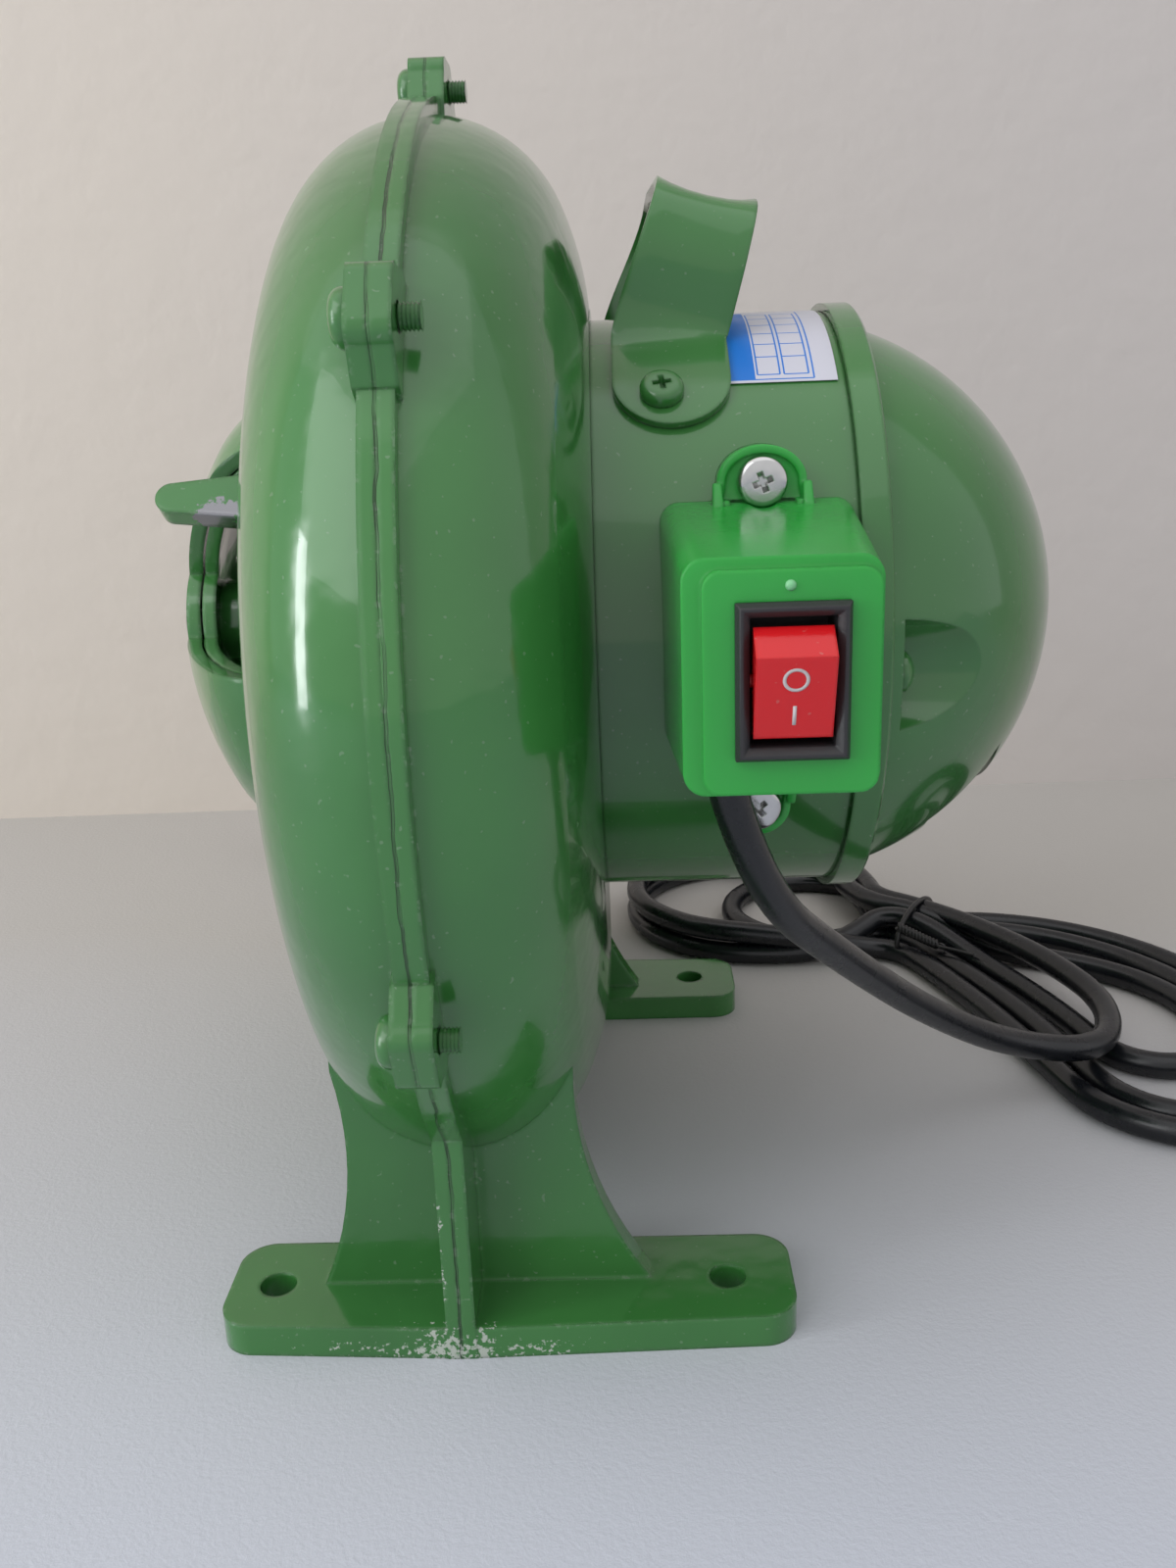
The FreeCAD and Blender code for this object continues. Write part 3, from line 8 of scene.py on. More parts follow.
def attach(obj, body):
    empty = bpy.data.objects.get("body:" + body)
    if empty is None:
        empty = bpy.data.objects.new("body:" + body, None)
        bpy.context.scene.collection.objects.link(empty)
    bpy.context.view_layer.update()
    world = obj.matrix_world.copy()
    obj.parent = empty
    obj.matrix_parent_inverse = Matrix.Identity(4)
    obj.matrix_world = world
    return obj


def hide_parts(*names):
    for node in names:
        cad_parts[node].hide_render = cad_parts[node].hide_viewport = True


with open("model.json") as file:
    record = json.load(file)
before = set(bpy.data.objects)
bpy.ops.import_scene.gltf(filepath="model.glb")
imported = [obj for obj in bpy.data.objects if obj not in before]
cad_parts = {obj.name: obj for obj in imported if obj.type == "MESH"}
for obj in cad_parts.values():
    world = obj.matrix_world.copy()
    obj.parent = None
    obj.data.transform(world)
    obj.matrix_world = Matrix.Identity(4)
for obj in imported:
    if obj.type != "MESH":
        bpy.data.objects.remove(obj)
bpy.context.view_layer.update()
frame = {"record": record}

mm = 0.001
splitX = -6  # the casing's parting plane
axisZ = 115  # height of the motor's axis

nodes = {o.name: o for o in bpy.context.scene.objects if o.type == "MESH"}


def deselectAll():
    if bpy.context.mode != "OBJECT":
        bpy.ops.object.mode_set(mode="OBJECT")
    bpy.ops.object.select_all(action="DESELECT")


def choose(*pieces):
    # selects only these and makes the first one active
    deselectAll()
    for piece in pieces:
        piece.select_set(True)
    bpy.context.view_layer.objects.active = pieces[0]


def openMesh():
    # the active mesh in edit mode, all of it selected
    bpy.ops.object.mode_set(mode="EDIT")
    bpy.ops.mesh.select_all(action="SELECT")


def closeMesh():
    bpy.ops.object.mode_set(mode="OBJECT")


def settle(piece, name, material=None, body=None, smooth=35):
    # puts the piece's place into its mesh and gives it a name, a finish and a body
    choose(piece)
    piece.name = name
    bpy.ops.object.transform_apply(location=True, rotation=True, scale=True)
    if smooth:
        bpy.ops.object.shade_smooth_by_angle(angle=math.radians(smooth))
    if material:
        piece.data.materials.clear()
        piece.data.materials.append(material)
    if body:
        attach(piece, body)
    return piece


def applyModifier(piece, kind, **settings):
    choose(piece)
    modifier = piece.modifiers.new(kind.lower(), kind)
    for key, value in settings.items():
        setattr(modifier, key, value)
    bpy.ops.object.modifier_apply(modifier=modifier.name)


def thicken(piece, thickness, offset):
    applyModifier(piece, "SOLIDIFY", thickness=thickness, offset=offset, use_even_offset=True)


def roundOff(piece, width, segments):
    applyModifier(piece, "BEVEL", width=width, segments=segments, limit_method="ANGLE",
                  angle_limit=math.radians(35))


def pickFaces(piece, way, level=0.9, test=None):
    # opens the mesh with only the faces selected that look along way
    choose(piece)
    bpy.ops.object.mode_set(mode="EDIT")
    bpy.ops.mesh.select_mode(type="FACE")
    bpy.ops.mesh.select_all(action="DESELECT")
    closeMesh()
    for face in piece.data.polygons:
        face.select = face.normal.dot(Vector(way)) > level and (test is None or test(face.center))
    bpy.ops.object.mode_set(mode="EDIT")


def extrude(*way):
    bpy.ops.mesh.extrude_region_move(TRANSFORM_OT_translate={"value": tuple(w * mm for w in way)})


def scaleUp(*size):
    # stretches the piece that was just added to this size in mm
    bpy.context.object.scale = tuple(s * mm for s in size)


def aim(piece, place, way):
    # puts the piece's +Z along way, at a place in mm
    piece.matrix_world = (Matrix.Translation(Vector(place) * mm)
                          @ Vector(way).to_track_quat("Z", "Y").to_matrix().to_4x4())


cameraSetup = {
    "lens": 31.05,
    "place": (24.24, -266.1, 159.59),
    "down": 16.87,
    "left": 1.6,
    "roll": -2.14,
}


def buildCamera(setup):
    bpy.ops.object.camera_add()
    camera = bpy.context.object
    camera.name = "camera"
    camera.data.sensor_width = 36
    camera.data.lens = setup["lens"]
    camera.data.clip_start = 0.01
    turn = (Matrix.Rotation(math.radians(setup["left"]), 4, "Z")
            @ Matrix.Rotation(math.radians(90 - setup["down"]), 4, "X")
            @ Matrix.Rotation(math.radians(setup["roll"]), 4, "Z"))
    camera.matrix_world = Matrix.Translation(Vector(setup["place"]) * mm) @ turn
    bpy.context.scene.camera = camera
    print("camera ready")


buildCamera(cameraSetup)


number, colour, direction = "NodeSocketFloat", "NodeSocketColor", "NodeSocketVector"


def newGroup(name, inputs, outputs):
    # a node group that is given a Vector and these inputs
    group = bpy.data.node_groups.new(name, "ShaderNodeTree")
    for label, kind, value in [("Vector", direction, (0, 0, 0))] + inputs:
        socket = group.interface.new_socket(label, in_out="INPUT", socket_type=kind)
        socket.default_value = value
    for label, kind in outputs:
        group.interface.new_socket(label, in_out="OUTPUT", socket_type=kind)
    start = group.nodes.new("NodeGroupInput")
    end = group.nodes.new("NodeGroupOutput")
    return group, start.outputs, end.inputs


def addNode(tree, kind, **settings):
    # a setting that starts with in_ goes on the input of that name
    node = tree.nodes.new("ShaderNode" + kind)
    for key, value in settings.items():
        if key.startswith("in_"):
            node.inputs[key[3:]].default_value = value
        else:
            setattr(node, key, value)
    return node


def wire(tree, source, socket):
    # a constant goes on the socket itself
    if isinstance(source, (int, float, tuple)):
        socket.default_value = source
    else:
        tree.links.new(source, socket)


def mathNode(tree, operation, *values, clamp=False):
    node = addNode(tree, "Math", operation=operation, use_clamp=clamp)
    for value, socket in zip(values, node.inputs):
        wire(tree, value, socket)
    return node.outputs[0]


def chain(tree, operation, first, *others):
    # one operation over several values, from left to right
    for other in others:
        first = mathNode(tree, operation, first, other)
    return first


def vectorNode(tree, operation, *vectors):
    node = addNode(tree, "VectorMath", operation=operation)
    for vector, socket in zip(vectors, node.inputs):
        wire(tree, vector, socket)
    return node.outputs


def splitAxes(tree, vector):
    node = addNode(tree, "SeparateXYZ")
    wire(tree, vector, node.inputs[0])
    return node.outputs


def mapRange(tree, value, low, high, toLow=0.0, toHigh=1.0):
    node = addNode(tree, "MapRange")
    wire(tree, value, node.inputs["Value"])
    labels = ("From Min", "From Max", "To Min", "To Max")
    for label, limit in zip(labels, (low, high, toLow, toHigh)):
        node.inputs[label].default_value = limit
    return node.outputs["Result"]


def mixColour(tree, share, a, b):
    node = addNode(tree, "Mix", data_type="RGBA")
    for index, value in ((0, share), (6, a), (7, b)):
        wire(tree, value, node.inputs[index])
    return node.outputs[2]


def noise(tree, place, scale, detail=2.0, rough=0.5):
    node = addNode(tree, "TexNoise", in_Detail=detail, in_Roughness=rough)
    wire(tree, place, node.inputs["Vector"])
    wire(tree, scale, node.inputs["Scale"])
    return node.outputs["Fac"]


def buildOrangePeel():
    # soft waves of a thick coat of enamel, as a height
    group, given, wanted = newGroup("orangePeel", [("Size", number, 220.0)],
                                    [("Height", number)])
    fine = noise(group, given["Vector"], given["Size"], 1.0, 0.4)
    wide = noise(group, given["Vector"], 38.0, 1.0)
    height = mathNode(group, "ADD", mathNode(group, "MULTIPLY", fine, 0.35), wide)
    wire(group, height, wanted["Height"])
    return group


def buildPaintTone():
    # slow variation of a sprayed colour, and dust in it
    group, given, wanted = newGroup("paintTone", [("Light", colour, (0.1, 0.3, 0.1, 1)),
                                                  ("Dark", colour, (0.02, 0.1, 0.02, 1)),
                                                  ("Dust", number, 0.1)],
                                    [("Color", colour)])
    cloud = mapRange(group, noise(group, given["Vector"], 14.0, 3.0), 0.35, 0.65)
    base = mixColour(group, cloud, given["Dark"], given["Light"])
    speck = mapRange(group, noise(group, given["Vector"], 1300.0, 0.0), 0.80, 0.84)
    mask = mathNode(group, "MULTIPLY", speck, given["Dust"])
    wire(group, mixColour(group, mask, base, (0.35, 0.38, 0.33, 1)), wanted["Color"])
    return group


def buildEdgeWear():
    # where the rounded normal leaves the face's own normal, broken up by noise
    group, given, wanted = newGroup("edgeWear", [("Rounded", direction, (0, 0, 1)),
                                                 ("Amount", number, 0.5)],
                                    [("Mask", number)])
    own = addNode(group, "NewGeometry").outputs["Normal"]
    match = vectorNode(group, "DOT_PRODUCT", given["Rounded"], own)["Value"]
    edge = mapRange(group, match, 0.97, 0.86)
    broken = mapRange(group, noise(group, given["Vector"], 420.0, 4.0, 0.7), 0.56, 0.62)
    wire(group, chain(group, "MULTIPLY", edge, broken, given["Amount"]), wanted["Mask"])
    return group


def buildPatch():
    # 1 inside a soft box round Centre, 0 outside, eaten away by noise towards its sides
    group, given, wanted = newGroup("patch", [("Centre", direction, (0, 0, 0)),
                                              ("Half", direction, (0.01, 0.01, 0.01)),
                                              ("Size", number, 400.0),
                                              ("Level", number, 0.5)],
                                    [("Mask", number)])
    away = vectorNode(group, "SUBTRACT", given["Vector"], given["Centre"])[0]
    plain = vectorNode(group, "ABSOLUTE", away)[0]
    share = vectorNode(group, "DIVIDE", plain, given["Half"])[0]
    reach = chain(group, "MAXIMUM", *splitAxes(group, share))
    fine = noise(group, given["Vector"], given["Size"], 5.0, 0.65)
    inside = mapRange(group, reach, 0.35, 1.0, 0.0, 0.28)
    rest = chain(group, "SUBTRACT", fine, inside, given["Level"])
    held = mathNode(group, "MULTIPLY", mapRange(group, rest, 0.0, 0.03),
                    mapRange(group, reach, 0.97, 1.0, 1.0, 0.0))
    wire(group, held, wanted["Mask"])
    return group


def buildSeam():
    # a thin uneven line where the casing's halves meet, as a mask for painted shade in the gap
    # between them
    group, given, wanted = newGroup("seam", [("Place", number, 0.0), ("Width", number, 0.0004)],
                                    [("Mask", number)])
    sway = mapRange(group, noise(group, given["Vector"], 60.0, 3.0, 0.6), 0.3, 0.7,
                    -0.0005, 0.0005)
    across = splitAxes(group, given["Vector"])[0]
    away = mathNode(group, "ABSOLUTE", chain(group, "SUBTRACT", across, given["Place"], sway))
    ratio = mathNode(group, "DIVIDE", away, given["Width"])
    line = mapRange(group, ratio, 0.6, 1.0, 1.0, 0.0)
    held = mapRange(group, noise(group, given["Vector"], 45.0, 2.0, 0.5), 0.44, 0.56, 0.1, 0.5)
    wire(group, mathNode(group, "MULTIPLY", line, held), wanted["Mask"])
    return group


def buildGrain():
    # fine grain of moulded or cast stock, as a height
    group, given, wanted = newGroup("grain", [("Size", number, 900.0)], [("Height", number)])
    wire(group, noise(group, given["Vector"], given["Size"], 3.0, 0.6), wanted["Height"])
    return group


groups = {"peel": buildOrangePeel(), "tone": buildPaintTone(), "wear": buildEdgeWear(),
          "grain": buildGrain(), "patch": buildPatch(), "seam": buildSeam()}
print("node groups ready")


def newMaterial(name):
    material = bpy.data.materials.new(name)
    material.use_nodes = True
    tree = material.node_tree
    shader = next(n for n in tree.nodes if n.type == "BSDF_PRINCIPLED")
    place = addNode(tree, "TexCoord").outputs["Object"]
    return material, tree, shader, place


def useGroup(tree, key, place, **values):
    node = addNode(tree, "Group")
    node.node_tree = groups[key]
    wire(tree, place, node.inputs["Vector"])
    for label, value in values.items():
        node.inputs[label].default_value = value
    return node


def roundedEdges(tree, radius):
    return addNode(tree, "Bevel", samples=4, in_Radius=radius).outputs["Normal"]


def bump(tree, shader, height, distance, rounded=None):
    node = addNode(tree, "Bump", in_Strength=1.0, in_Distance=distance)
    wire(tree, height, node.inputs["Height"])
    if rounded:
        wire(tree, rounded, node.inputs["Normal"])
    wire(tree, node.outputs["Normal"], shader.inputs["Normal"])


def bumpGrain(tree, shader, place, size, depth, edge=None):
    # the grain as a bump, on edges rounded by this radius
    height = useGroup(tree, "grain", place, Size=size).outputs["Height"]
    bump(tree, shader, height, depth, edge and roundedEdges(tree, edge))


enamel = {
    "light": (0.042, 0.185, 0.040, 1),
    "dark": (0.030, 0.138, 0.030, 1),
    "rough": 0.17,
    "chip": (0.40, 0.44, 0.38, 1),
    # colour of the painted shade in the gap where the casing's halves meet
    "seamShade": (0.006, 0.012, 0.006, 1),
    "iron": (0.24, 0.24, 0.255, 1),
    "chipRough": 0.5,
    "dust": 0.2,
    "coat": 0.5,
    "coatRough": 0.03,
    "seamWidth": 0.00024,
    "seamDepth": 3.0,  # as a share of the orange peel's depth
}

chipPlaces = {  # centre and half size of each patch of chipped enamel, in mm, and its level
    "footEdge": ((-8, -77, 0.5), (38, 6, 4.2), 850.0, 0.505),
    "footMiddle": ((splitX - 1, -76, 2), (13, 6, 8), 900.0, 0.52),
    "ribLeft": ((splitX - 3, -76, 21), (2.2, 5, 20), 480.0, 0.53),
}
groundPlaces = {  # the same for places ground down to the iron
    "leverRoot": ((-42.7, -35, 137.2), (4.2, 7, 5.0), 300.0, 0.26),
    "windowEdge": ((-45.7, -37, 123.5), (1.7, 5, 8), 300.0, 0.20),
}


def patches(tree, place, places):
    # 1 in any of these places
    masks = []
    for centre, half, size, level in places.values():
        patch = useGroup(tree, "patch", place, Centre=[c * mm for c in centre],
                         Half=[h * mm for h in half], Size=size, Level=level)
        masks.append(patch.outputs["Mask"])
    return chain(tree, "MAXIMUM", *masks)


def paintedIron(name, peelDepth, wear, edge=0.0008, cast=False):
    # enamel over iron or steel; a casting also has its chips and the line of its joint
    material, tree, shader, place = newMaterial(name)
    rounded = roundedEdges(tree, edge)
    tone = useGroup(tree, "tone", place, Light=enamel["light"], Dark=enamel["dark"],
                    Dust=enamel["dust"])
    worn = useGroup(tree, "wear", place, Amount=wear)
    wire(tree, rounded, worn.inputs["Rounded"])
    mask, base = worn.outputs["Mask"], tone.outputs["Color"]
    height = useGroup(tree, "peel", place).outputs["Height"]
    if cast:
        mask = mathNode(tree, "MAXIMUM", mask, patches(tree, place, chipPlaces))
        line = useGroup(tree, "seam", place, Place=splitX * mm,
                        Width=enamel["seamWidth"]).outputs["Mask"]
        # the seam's line is darkened as painted shade of the gap between the halves
        base = mixColour(tree, line, base, enamel["seamShade"])
        ground = patches(tree, place, groundPlaces)
        base = mixColour(tree, ground, base, enamel["iron"])
        wire(tree, ground, shader.inputs["Metallic"])
        height = mathNode(tree, "SUBTRACT", height,
                          mathNode(tree, "MULTIPLY", line, enamel["seamDepth"]))
    wire(tree, mixColour(tree, mask, base, enamel["chip"]), shader.inputs["Base Color"])
    wire(tree, mapRange(tree, mask, 0, 1, enamel["rough"], enamel["chipRough"]),
         shader.inputs["Roughness"])
    shader.inputs["Coat Weight"].default_value = enamel["coat"]
    shader.inputs["Coat Roughness"].default_value = enamel["coatRough"]
    bump(tree, shader, height, peelDepth, rounded)
    return material


def darker(base, share):
    return tuple(c * (1 - share) for c in base[:3]) + (1,)


def plainMetal(name, base, rough, depth=0.00003, dirt=0.3):
    # bare metal, dulled in clouds
    material, tree, shader, place = newMaterial(name)
    cloud = noise(tree, place, 60.0, 4.0, 0.6)
    wire(tree, mixColour(tree, mapRange(tree, cloud, 0.35, 0.65), darker(base, dirt), base),
         shader.inputs["Base Color"])
    wire(tree, mapRange(tree, cloud, 0.3, 0.7, rough * 1.4, rough * 0.8),
         shader.inputs["Roughness"])
    shader.inputs["Metallic"].default_value = 1.0
    bumpGrain(tree, shader, place, 700.0, depth, edge=0.0003)
    return material


def moulded(name, base, rough, scale=900.0, depth=0.00003, dust=0.0, edge=0.0005, glow=0.0):
    # plastic; glow is the share of the light that goes into it
    material, tree, shader, place = newMaterial(name)
    tone = useGroup(tree, "tone", place, Light=base, Dark=darker(base, 0.15), Dust=dust)
    wire(tree, tone.outputs["Color"], shader.inputs["Base Color"])
    cloud = noise(tree, place, 90.0, 3.0, 0.6)
    wire(tree, mapRange(tree, cloud, 0.3, 0.7, rough * 0.85, rough * 1.15),
         shader.inputs["Roughness"])
    shader.inputs["Subsurface Weight"].default_value = glow
    shader.inputs["Subsurface Radius"].default_value = (0.2, 1.0, 0.3)
    shader.inputs["Subsurface Scale"].default_value = 0.004
    bumpGrain(tree, shader, place, scale, depth, edge)
    return material


def cordFinish(name, dark, light):
    material, tree, shader, place = newMaterial(name)
    cloud = noise(tree, place, 120.0, 3.0, 0.6)
    wire(tree, mixColour(tree, cloud, dark, light), shader.inputs["Base Color"])
    wire(tree, mapRange(tree, cloud, 0.3, 0.7, 0.22, 0.34), shader.inputs["Roughness"])
    bumpGrain(tree, shader, place, 1500.0, 0.00002)
    return material


materials = {
    "casting": paintedIron("castingEnamel", peelDepth=0.00045, wear=0.25, edge=0.0012, cast=True),
    "sheet": paintedIron("sheetEnamel", peelDepth=0.00016, wear=0.1),
    "steel": plainMetal("platedSteel", (0.55, 0.55, 0.53, 1), 0.35),
    "chrome": plainMetal("brightPlating", (0.62, 0.62, 0.61, 1), 0.16, depth=0.00001, dirt=0.35),
    "shaft": plainMetal("groundSteel", (0.5, 0.5, 0.5, 1), 0.3),
    # the impeller is coloured far darker than bare aluminium, as painted shade for the dark inside
    # of the casing
    "aluminium": plainMetal("aluminiumDarkAsShade", (0.15, 0.155, 0.16, 1), 0.5),
    "core": plainMetal("laminations", (0.25, 0.25, 0.26, 1), 0.5),
    "copper": plainMetal("varnishedCopper", (0.5, 0.2, 0.08, 1), 0.35),
    "brass": plainMetal("tinnedBrass", (0.72, 0.68, 0.58, 1), 0.25),
    "box": moulded("boxPlastic", (0.03, 0.36, 0.055, 1), 0.2, edge=0.0007, glow=0.2),
    "bezel": moulded("bezelPlastic", (0.022, 0.022, 0.024, 1), 0.45, scale=1600.0, depth=0.00006,
                      edge=0.00015),
    "rocker": moulded("rockerPlastic", (0.68, 0.010, 0.014, 1), 0.16, dust=0.2, edge=0.0006),
    # a pale green, lighter than the box, as a painted highlight on the glossy dot
    "pip": moulded("pipPlastic", (0.22, 0.58, 0.28, 1), 0.12),
    "mark": moulded("whitePrint", (0.75, 0.70, 0.70, 1), 0.4),
    "fan": moulded("fanPlastic", (0.02, 0.02, 0.02, 1), 0.5),
    "cord": cordFinish("cordPvc", (0.0030, 0.0036, 0.005, 1), (0.0065, 0.0078, 0.0105, 1)),
    "tie": moulded("tieCoat", (0.012, 0.012, 0.012, 1), 0.4),
}

finishes = {
    "casing_paint": "casting", "motor_paint": "sheet", "bolt_steel": "steel",
    "screw_chrome": "chrome", "shaft_steel": "shaft", "impeller_aluminium": "aluminium",
    "core_steel": "core", "winding_copper": "copper", "box_plastic": "box",
    "frame_plastic": "bezel", "rocker_plastic": "rocker", "fan_plastic": "fan",
    "tag_brass": "brass", "cord_pvc": "cord", "tie_wire": "tie",
}


def dressNodes():
    # each CAD node gets the finish of its slot in the record
    slotOf = {s["node"]: s["material_slot"] for s in frame["record"]["subparts"]}
    for name, slotName in slotOf.items():
        piece = nodes.get(name)
        if piece is None:
            print("no object for", name)
            continue
        piece.data.materials.clear()
        piece.data.materials.append(materials[finishes[slotName]])
    nodes["motor_tie_bolts"].data.materials[0] = materials["sheet"]  # sprayed over with the dome


dressNodes()
print("materials ready")


def millimetres(points):
    return [(x * mm, y * mm, z * mm) for x, y, z in points]


def shifted(points):
    return [(x + splitX, y, z) for x, y, z in points]


def lap(centre, reach, height, first, last, count):
    # one turn of the tied coil, between two angles
    cx, cy = centre
    step = (last - first) / (count - 1)
    turns = [math.radians(first + step * i) for i in range(count)]
    return [(cx + reach * math.cos(a), cy + reach * math.sin(a), height) for a in turns]


cordSetup = {  # points in mm; x runs from the casing's parting plane
    "radius": 3.0,
    "lead": [(45, -75, 102), (50.5, -67, 80.5), (68, -42, 58), (90, -16, 33.5), (113, 2, 15.8),
             (137, 10, 9.4), (146, 33, 9.4), (139.5, 59, 9.4), (126.5, 82, 9.4),
             (113.5, 97.5, 9.4), (103, 106, 9.4)],
    "firstLap": ((67.5, 117), 35.0, 9.4, 0, 262, 13),
    "neckOne": [(82.5, 81.5, 7), (95.5, 84.5, 3.2)],
    "outerLoop": [(106.5, 82, 3.1), (113.5, 63, 3.1), (120.5, 41, 3.1), (126, 18, 3.1),
                  (130.5, -5, 3.1), (149.5, -18, 3.1), (172, -13.2, 3.1), (184.5, 6, 3.1),
                  (185.5, 30, 3.1), (182.5, 53, 3.1), (172.5, 75, 3.1), (156.5, 91, 3.1),
                  (136.5, 100, 3.1), (116.5, 101, 3.1), (104.5, 106.5, 3.1)],
    "secondLap": ((84.5, 113), 23.5, 3.1, 20, 300, 13),
    "neckTwo": [(101.5, 95, 3.1)],
    "middleLoop": [(110.5, 88, 3.1), (119.5, 66, 3.1), (127.5, 43, 3.1), (132.5, 20, 3.1),
                   (136.7, -0.8, 3.1), (151.1, -10, 3.1), (167.8, -6.3, 3.1),
                   (177, 8.1, 3.1), (179, 28, 3.1), (175.5, 50, 3.1), (166.5, 69, 3.1),
                   (152.5, 84, 3.1), (134.5, 93.5, 3.1), (114.5, 95, 3.1), (102.5, 101.5, 3.1)],
    "thirdLap": ((67.5, 117), 35.0, 3.1, 8, 262, 13),
    "neckThree": [(82.5, 82, 3.1), (94.5, 88, 6), (101.5, 92.5, 9.2)],
    "innerLoop": [(111.5, 88.5, 9.4), (125, 71, 3.9), (133, 54, 3.1), (138.5, 36, 3.1),
                  (142, 19.3, 3.1), (151.9, 13, 3.1), (163.2, 15.5, 3.1), (169.5, 25.4, 3.1),
                  (170.5, 40, 3.1), (165.5, 55, 3.1), (155.5, 66, 3.1), (142.5, 74, 3.1),
                  (129.5, 80, 3.8), (114, 93.5, 9.4), (101.5, 101, 9.4)],
    "lastLap": ((68.5, 117), 28.0, 9.4, -8, 85, 5),
    "tail": [(67.5, 147, 14), (61.5, 152, 11), (53.5, 156, 6.5), (42.5, 159, 3.5),
             (23.5, 161, 3.1), (0.5, 159.5, 3.1), (-15.5, 158.5, 3.1), (-30.5, 166, 4.9)],
}


def cordRoute(setup):
    return (setup["lead"] + lap(*setup["firstLap"]) + setup["neckOne"] + setup["outerLoop"]
            + lap(*setup["secondLap"]) + setup["neckTwo"] + setup["middleLoop"]
            + lap(*setup["thirdLap"]) + setup["neckThree"] + setup["innerLoop"]
            + lap(*setup["lastLap"]) + setup["tail"])


def smoothCurve(name, points, radius, sides=6):
    # one line with these points as its control points, round in section
    curve = bpy.data.curves.new(name, "CURVE")
    curve.dimensions = "3D"
    curve.bevel_depth = radius * mm
    curve.bevel_resolution = sides
    curve.resolution_u = 8
    curve.use_fill_caps = True
    line = curve.splines.new("NURBS")
    line.points.add(len(points) - 1)
    for point, place in zip(line.points, millimetres(points)):
        point.co = (*place, 1)
    line.order_u = 3
    line.use_endpoint_u = True
    piece = bpy.data.objects.new(name, curve)
    bpy.context.scene.collection.objects.link(piece)
    return piece


def buildCord(setup):
    # the mains cord, from the switch box round the tied coil to the plug
    route = shifted(cordRoute(setup))
    piece = smoothCurve("mainsCord", route, setup["radius"])
    piece.data.materials.append(materials["cord"])
    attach(piece, "casing")
    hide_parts("cord_lead", "cord_loops", "cord_coil", "cord_tail")
    print("cord ready")


tieSetup = {
    "place": (105, 91),
    "along": (0.848, -0.53),  # the way the cord's neck runs there
    "half": 14.4,
    "middle": 6.95,  # height of the loop's middle, and how far it goes above and below
    "rise": 6.15,
    "points": 16,
    "first": 250,
    "lift": 0.7,
    "radius": 0.75,
    "knot": 0.86,  # where the twisted tail starts, as a share of half
    "turns": 6,
    "twisted": 11.5,
    "twistRadius": 0.95,
    "wireRadius": 0.5,
    "ends": (1.5, 10),
    "heights": (10.8, 7.6),
    "droop": 0.4,
}


def tieTail(setup, start, along, across, strand, end):
    # one of the two wires of the twisted tail, with its straight end
    high, low = setup["heights"]
    radius, turns = setup["twistRadius"], setup["turns"]
    steps = turns * 8
    run = []
    for step in range(steps + 1):
        share = step / steps
        angle = strand + share * turns * 2 * math.pi
        spot = (start + Vector(along) * setup["twisted"] * share
                + Vector(across) * (radius * math.cos(angle)))
        run.append((spot.x, spot.y, high + (low - high) * share + radius * math.sin(angle)))
    x, y = run[-1][:2]
    ux, uy = along
    run.append((x + ux * end / 2, y + uy * end / 2, low))
    run.append((x + ux * end, y + uy * end, low - setup["droop"]))
    return run


def buildTie(setup):
    # twisted wire round the cord's neck
    px, py = setup["place"]
    ux, uy = setup["along"]
    vx, vy = -uy, ux  # across the neck, away from the camera
    half, count = setup["half"], setup["points"]
    loop = []
    for step in range(count + 1):
        angle = math.radians(setup["first"] + step * 360 / count)
        side, up = half * math.cos(angle), setup["middle"] + setup["rise"] * math.sin(angle)
        lift = setup["lift"] * step / count
        loop.append((px + side * vx + ux * lift, py + side * vy + uy * lift, up))
    knot = half * setup["knot"]
    start = Vector((px - knot * vx, py - knot * vy))
    wires = [smoothCurve("tieLoop", loop, setup["radius"], 3)]
    for name, strand, end in zip(("tieEndA", "tieEndB"), (0, math.pi), setup["ends"]):
        run = tieTail(setup, start, (ux, uy), (vx, vy), strand, end)
        wires.append(smoothCurve(name, run, setup["wireRadius"], 3))
    choose(*wires)
    bpy.ops.object.convert(target="MESH")
    bpy.ops.object.join()
    print("tie ready")
    return settle(bpy.context.object, "twistTie", materials["tie"], "casing", 60)


twistTie = buildTie(tieSetup)
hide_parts("cord_tie")
buildCord(cordSetup)


strapSetup = {  # its sizes across and up are from the motor's axis
    "width": 19.5,
    "thick": 1.5,
    "middle": 33.9,  # where its middle line sits along the motor
    "barrel": 54.05,
    "tabAngle": 51.3,  # centre of each tab's round end, from level
    "rise": 26.0,
    "foot": 49.4,
    "lean": 14.5,
    "twist": 1.15,  # how far the near leg is pushed along the motor at its top
    "twistOver": 20,
    "spread": 2.4,  # how far the far leg stands off towards the casing at its foot
    "narrow": 0.10,
    "dip": 1.7,
    "leaves": 62.5,  # where a tab leaves the barrel, from level
    "bend": ((22.9, 50.6), (23.2, 54.5)),  # corner and end of the bend above it, as (y, z)
    "leg": (24.4, 62.0),
    "shoulder": (25.6, 0.3, 11.5),  # its corner's y, that corner's z above the top, its end's y
    "leans": (-0.6, 3.0),  # heights above the foot over which the lean sets in
    "grows": (0, 25),  # and those over which it narrows and twists
    "flat": (13.0, 24.6),  # distances from the middle over which the dip runs out
    "hollow": (0.5, 20, (1, 7)),  # how deep the legs are hollowed, at what height, how far
    "rows": (-0.36, -0.2, 0, 0.2, 0.36),  # cuts along it, as shares of its width
    "steps": 72,  # and cuts across it
    "edge": 0.4,
}


def smoothStep(value, low, high):
    share = min(1.0, max(0.0, (value - low) / (high - low)))
    return share * share * (3 - 2 * share)


